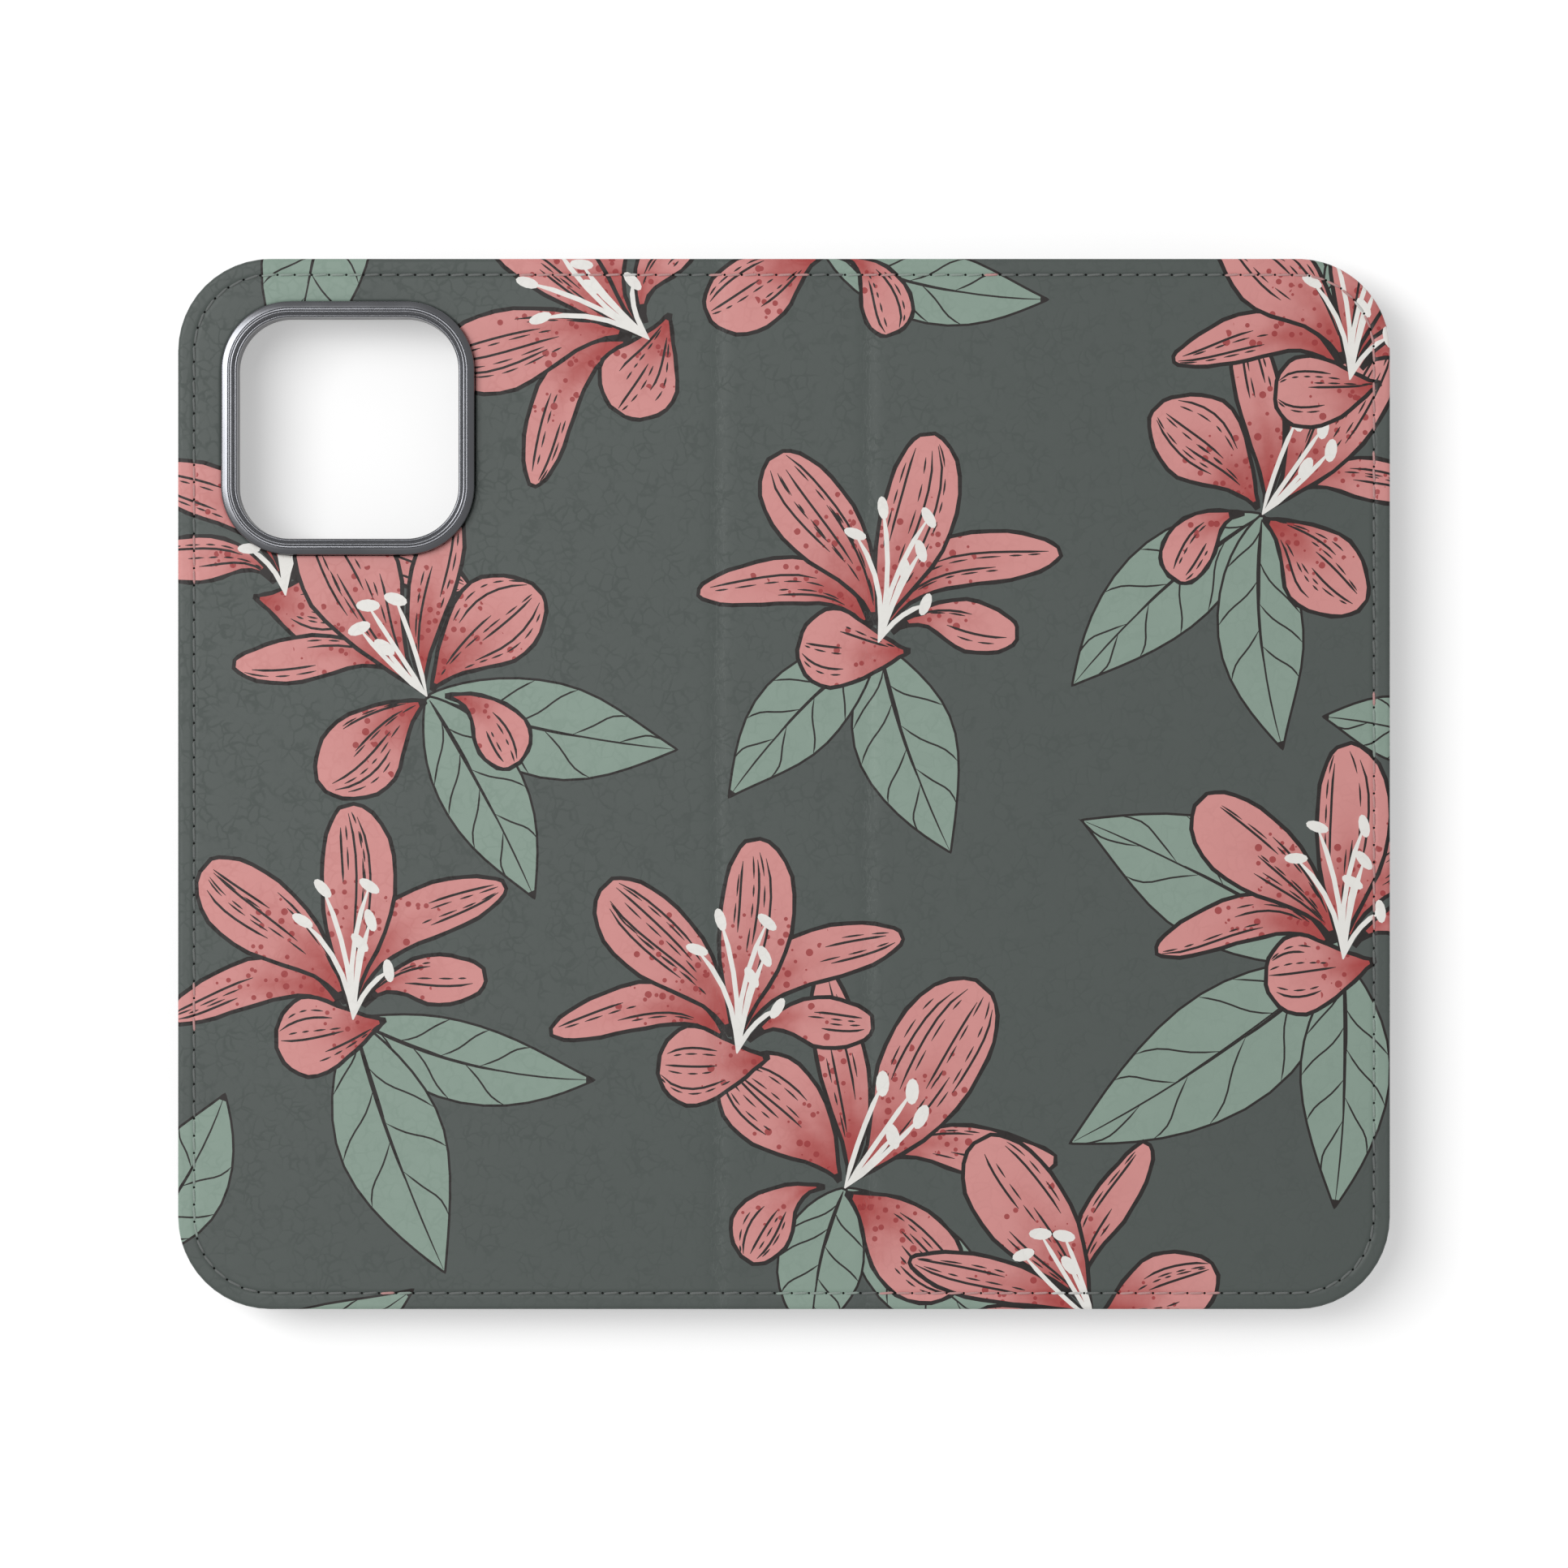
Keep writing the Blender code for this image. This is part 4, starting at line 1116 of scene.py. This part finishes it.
tray = {
    "corner": 13.3,
    "wall": 1.3,
    "lipHeight": 0.9,
    "lipOverhang": 0.8,
    "lipEase": 0.2,
    "cavityTop": 8.85,
    "cavityEase": 0.35,
    "seatInsets": (3.5, 3.7),  # where the roof steps down to the phone's back
    "seatRise": 0.2,
    "middleInset": 6.0,
    "backRound": 1.2,
    "rimRound": 0.3,
    "portHeight": (2.4, 7.4),
    "portRound": 2.2,
    "portBreak": 0.25,     # softened edge round each port
    "volumeY": (7.0, 47.0),
    "powerY": (13.0, 37.0),
    "socketWidth": 44.0,
    "spigotRoom": 0.3,
    "spigotCorner": 9.4,
}


def roundedBlock(low, high, radius, axis):
    # A block with its four edges along one axis rounded
    block = bmesh.new()
    bmesh.ops.create_cube(block, size=1.0)
    size = Vector(high) - Vector(low)
    bmesh.ops.scale(block, vec=size, verts=block.verts)
    bmesh.ops.translate(block, verts=block.verts, vec=(Vector(low) + Vector(high)) / 2)
    along = [edge for edge in block.edges
             if abs((edge.verts[0].co - edge.verts[1].co)[axis]) > size[axis] * 0.9]
    bmesh.ops.bevel(block, geom=along, offset=radius, segments=8, affect="EDGES", profile=0.5, material=-1)
    return block


def cutWith(piece, block):
    bmesh.ops.scale(block, vec=(mm, mm, mm), verts=block.verts)
    cutter = addObject("cutter", toMesh("cutter", block))
    mesh = cutter.data
    cut = piece.modifiers.new("cut", "BOOLEAN")
    cut.operation = "DIFFERENCE"
    cut.solver = "EXACT"
    cut.object = cutter
    applyModifiers(piece)
    bpy.data.objects.remove(cutter)
    bpy.data.meshes.remove(mesh)


def softenEdges(piece, width, sharperThan):
    bevel = piece.modifiers.new("soften", "BEVEL")
    bevel.width = width * mm
    bevel.segments = 2
    bevel.limit_method = "ANGLE"
    bevel.angle_limit = math.radians(sharperThan)
    shading = piece.modifiers.new("evenShading", "WEIGHTED_NORMAL")
    shading.weight = 100
    applyModifiers(piece)


def buildTray():
    centre = ((trayLow.x + trayHigh.x) / 2, (trayLow.y + trayHigh.y) / 2)
    halfWide, halfHigh = (trayHigh.x - trayLow.x) / 2, (trayHigh.y - trayLow.y) / 2
    wall, top, roof = tray["wall"], trayHigh.z, tray["cavityTop"]
    rim, back = tray["rimRound"], tray["backRound"]
    lip, over = tray["lipHeight"], wall + tray["lipOverhang"]
    middle, seat = tray["middleInset"], roof - tray["seatRise"]
    # Open section from the middle of the back, over the edge, round the lip and up to the cavity's roof
    profile = [(middle, top)] + arc((back, top - back), back, 90, 180, 8)
    profile += arc((rim, rim), rim, 180, 270, 4) + arc((over - rim, rim), rim, 270, 360, 4)
    profile += [(over, lip - tray["lipEase"]), (over - tray["lipEase"], lip), (wall, lip)]
    profile += [(wall, roof - tray["cavityEase"]), (wall + tray["cavityEase"], roof)]
    profile += [(wall + tray["seatInsets"][0], roof), (wall + tray["seatInsets"][1], seat), (middle, seat)]
    shell = ringAround(profile, centre, halfWide, halfHigh, tray["corner"], closed=False)
    bmesh.ops.holes_fill(shell, edges=[edge for edge in shell.edges if edge.is_boundary], sides=0)
    bmesh.ops.recalc_face_normals(shell, faces=shell.faces)
    piece = finishMesh("phoneTray", shell, trayPlastic)
    reach = windowHalf - cover["windowGap"] - guard["spigotStep"] + tray["spigotRoom"]
    x, y = windowCentre
    cutWith(piece, roundedBlock((x - reach, y - reach, roof - 2), (x + reach, y + reach, top + 2),
                                tray["spigotCorner"], 2))
    # Ports through the wall: sound keys on the right, power key on the left, charging socket at the bottom
    socket = tray["socketWidth"] / 2
    for (lowX, highX), (lowY, highY), axis in (
            ((trayHigh.x - wall - 1, trayHigh.x + 1), tray["volumeY"], 0),
            ((trayLow.x - 1, trayLow.x + wall + 1), tray["powerY"], 0),
            ((centre[0] - socket, centre[0] + socket), (trayLow.y - 1, trayLow.y + wall + 1), 1)):
        low, high = zip((lowX, highX), (lowY, highY), tray["portHeight"])
        cutWith(piece, roundedBlock(low, high, tray["portRound"], axis))
    piece.data.shade_smooth()
    softenEdges(piece, tray["portBreak"], 60)
    return piece


phoneTray = buildTray()
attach(phoneTray, "back_cover")
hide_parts("phone_tray")
print("phone tray moulded:", len(phoneTray.data.polygons))


pocket = {
    "thickness": 0.4,
    "margin": 4.0,
    "corner": 5.0,
    "softening": 0.12,
    "spaceCorner": 0.05,
    "notchRadius": 8.0,
    "notchSetback": 2.7,
    "stitchInset": 1.8,
    "stitchStart": 0.6,      # in from the mouth
    "stitchDepth": 0.06,
}


def pocketOutline(low, high, corner, notch):
    # The mouth side is straight, or has a thumb notch at its middle
    outline = []
    for end, start in ((-1, -90), (1, 0)):
        turn = arc((high.x - corner, end * (high.y - corner)), corner, start, start + 90, 8)
        outline += [Vector(point) for point in turn]
    outline.append(Vector((low.x, high.y)))
    if notch:
        reach = math.degrees(math.acos(pocket["notchSetback"] / pocket["notchRadius"]))
        centre = (low.x - pocket["notchSetback"], 0.0)
        outline += [Vector(point) for point in arc(centre, pocket["notchRadius"], reach, -reach, 18)]
    outline.append(Vector((low.x, low.y)))
    return outline


def buildPocket(name, node, notch):
    low, high = (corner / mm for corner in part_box(node))
    body = bmesh.new()
    outline = pocketOutline(low, high, pocket["corner"], notch)
    bottom = body.faces.new([body.verts.new((*point, low.z)) for point in outline])
    grown = bmesh.ops.extrude_face_region(body, geom=[bottom])["geom"]
    bmesh.ops.translate(body, vec=(0, 0, high.z - low.z), verts=vertsOf(grown))
    bmesh.ops.recalc_face_normals(body, faces=body.faces)
    piece = finishMesh(name, body, pocketLeather)
    margin = pocket["margin"]
    cutWith(piece, roundedBlock((low.x - 3, low.y + margin, low.z + pocket["thickness"]),
                                (high.x - margin, high.y - margin, high.z + 2), pocket["spaceCorner"], 2))
    piece.data.shade_smooth()
    softenEdges(piece, pocket["softening"], 50)
    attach(piece, "front_cover")
    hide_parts(node)
    # A row of stitches round the three closed sides
    inset = pocket["stitchInset"]
    inner = pocketOutline(low + Vector((pocket["stitchStart"], inset, 0)), high - Vector((inset, inset, 0)),
                          pocket["corner"] - inset, False)
    marks = evenMarks([inner[-1]] + inner[:-1])
    row = buildStitches(f"{name}Stitches", list(zip(marks, marks[1:])), low.z + pocket["stitchDepth"], -1,
                        plainThread)
    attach(row, "front_cover")


for name, node, notch in (
        ("cashPocket", "cash_pocket", False), ("cardPocketInner", "card_pocket_1", True),
        ("cardPocketMiddle", "card_pocket_2", True), ("cardPocketOuter", "card_pocket_3", True)):
    buildPocket(name, node, notch)
print("pockets sewn on")


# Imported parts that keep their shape
for nodes, material in (
        (("back_board", "spine_board", "front_board"), fibreBoard), (("glue_pad",), padFilm),
        (("steel_keeper_upper", "steel_keeper_lower"), keeperSteel),
        (("closure_magnet_upper", "closure_magnet_lower"), magnetNickel)):
    for name in nodes:
        for slot in bpy.data.objects[name].material_slots:
            slot.material = material
print("inner parts coated")


# Floor, light and camera
stage = {
    "floorSize": 6.0,
    "floorDrop": 0.2,
    "floorTone": 0.93,
    "floorGlow": 0.35,
    "fill": 0.38,
    "keyPower": 10.4,
    "keySize": (0.5, 0.95),      # across and along the way the light comes
    "keyPlace": (-0.6, 0.27, 1.25),
    "lens": 150.0,
    "cameraHeight": 0.983,
}


def buildFloor():
    slab = bmesh.new()
    bmesh.ops.create_grid(slab, x_segments=4, y_segments=4, size=stage["floorSize"] / 2)
    bmesh.ops.translate(slab, verts=slab.verts, vec=(0, 0, -stage["floorDrop"] * mm))
    material, tree, shader = newMaterial("paleFloor", {
        "Roughness": 0.9, "Specular IOR Level": 0.0,
        "Emission Color": (1, 1, 1, 1), "Emission Strength": stage["floorGlow"]})
    clouds = noise(tree, objectPlace(tree), 6.0)["Fac"]
    tone = ramp(tree, clouds, stage["floorTone"] - 0.004, stage["floorTone"] + 0.004)
    tree.links.new(grey(tree, tone), shader.inputs["Base Color"])
    floor = addPiece("floor", toMesh("floor", slab), material)


def addLight(name, place, power, size):
    lamp = bpy.data.lights.new(name, "AREA")
    lamp.shape = "RECTANGLE"
    lamp.energy = power
    lamp.size, lamp.size_y = size
    obj = addObject(name, lamp)
    obj.location = place
    # Aimed at the case's middle
    obj.rotation_euler = (-obj.location).to_track_quat("-Z", "Y").to_euler()


def setStage():
    buildFloor()
    addLight("keyLight", stage["keyPlace"], stage["keyPower"], stage["keySize"])
    world = bpy.data.worlds.new("studio")
    world.use_nodes = True
    background = world.node_tree.nodes["Background"]
    background.inputs["Color"].default_value = (1, 1, 1, 1)
    background.inputs["Strength"].default_value = stage["fill"]
    scene.world = world
    lens = bpy.data.cameras.new("camera")
    lens.lens = stage["lens"]
    lens.clip_start = 0.01
    camera = addObject("camera", lens)
    camera.location = (0.0, 0.0, stage["cameraHeight"])
    scene.camera = camera
    scene.view_settings.view_transform = "Standard"
    scene.view_settings.look = "None"


setStage()
print("stage set")
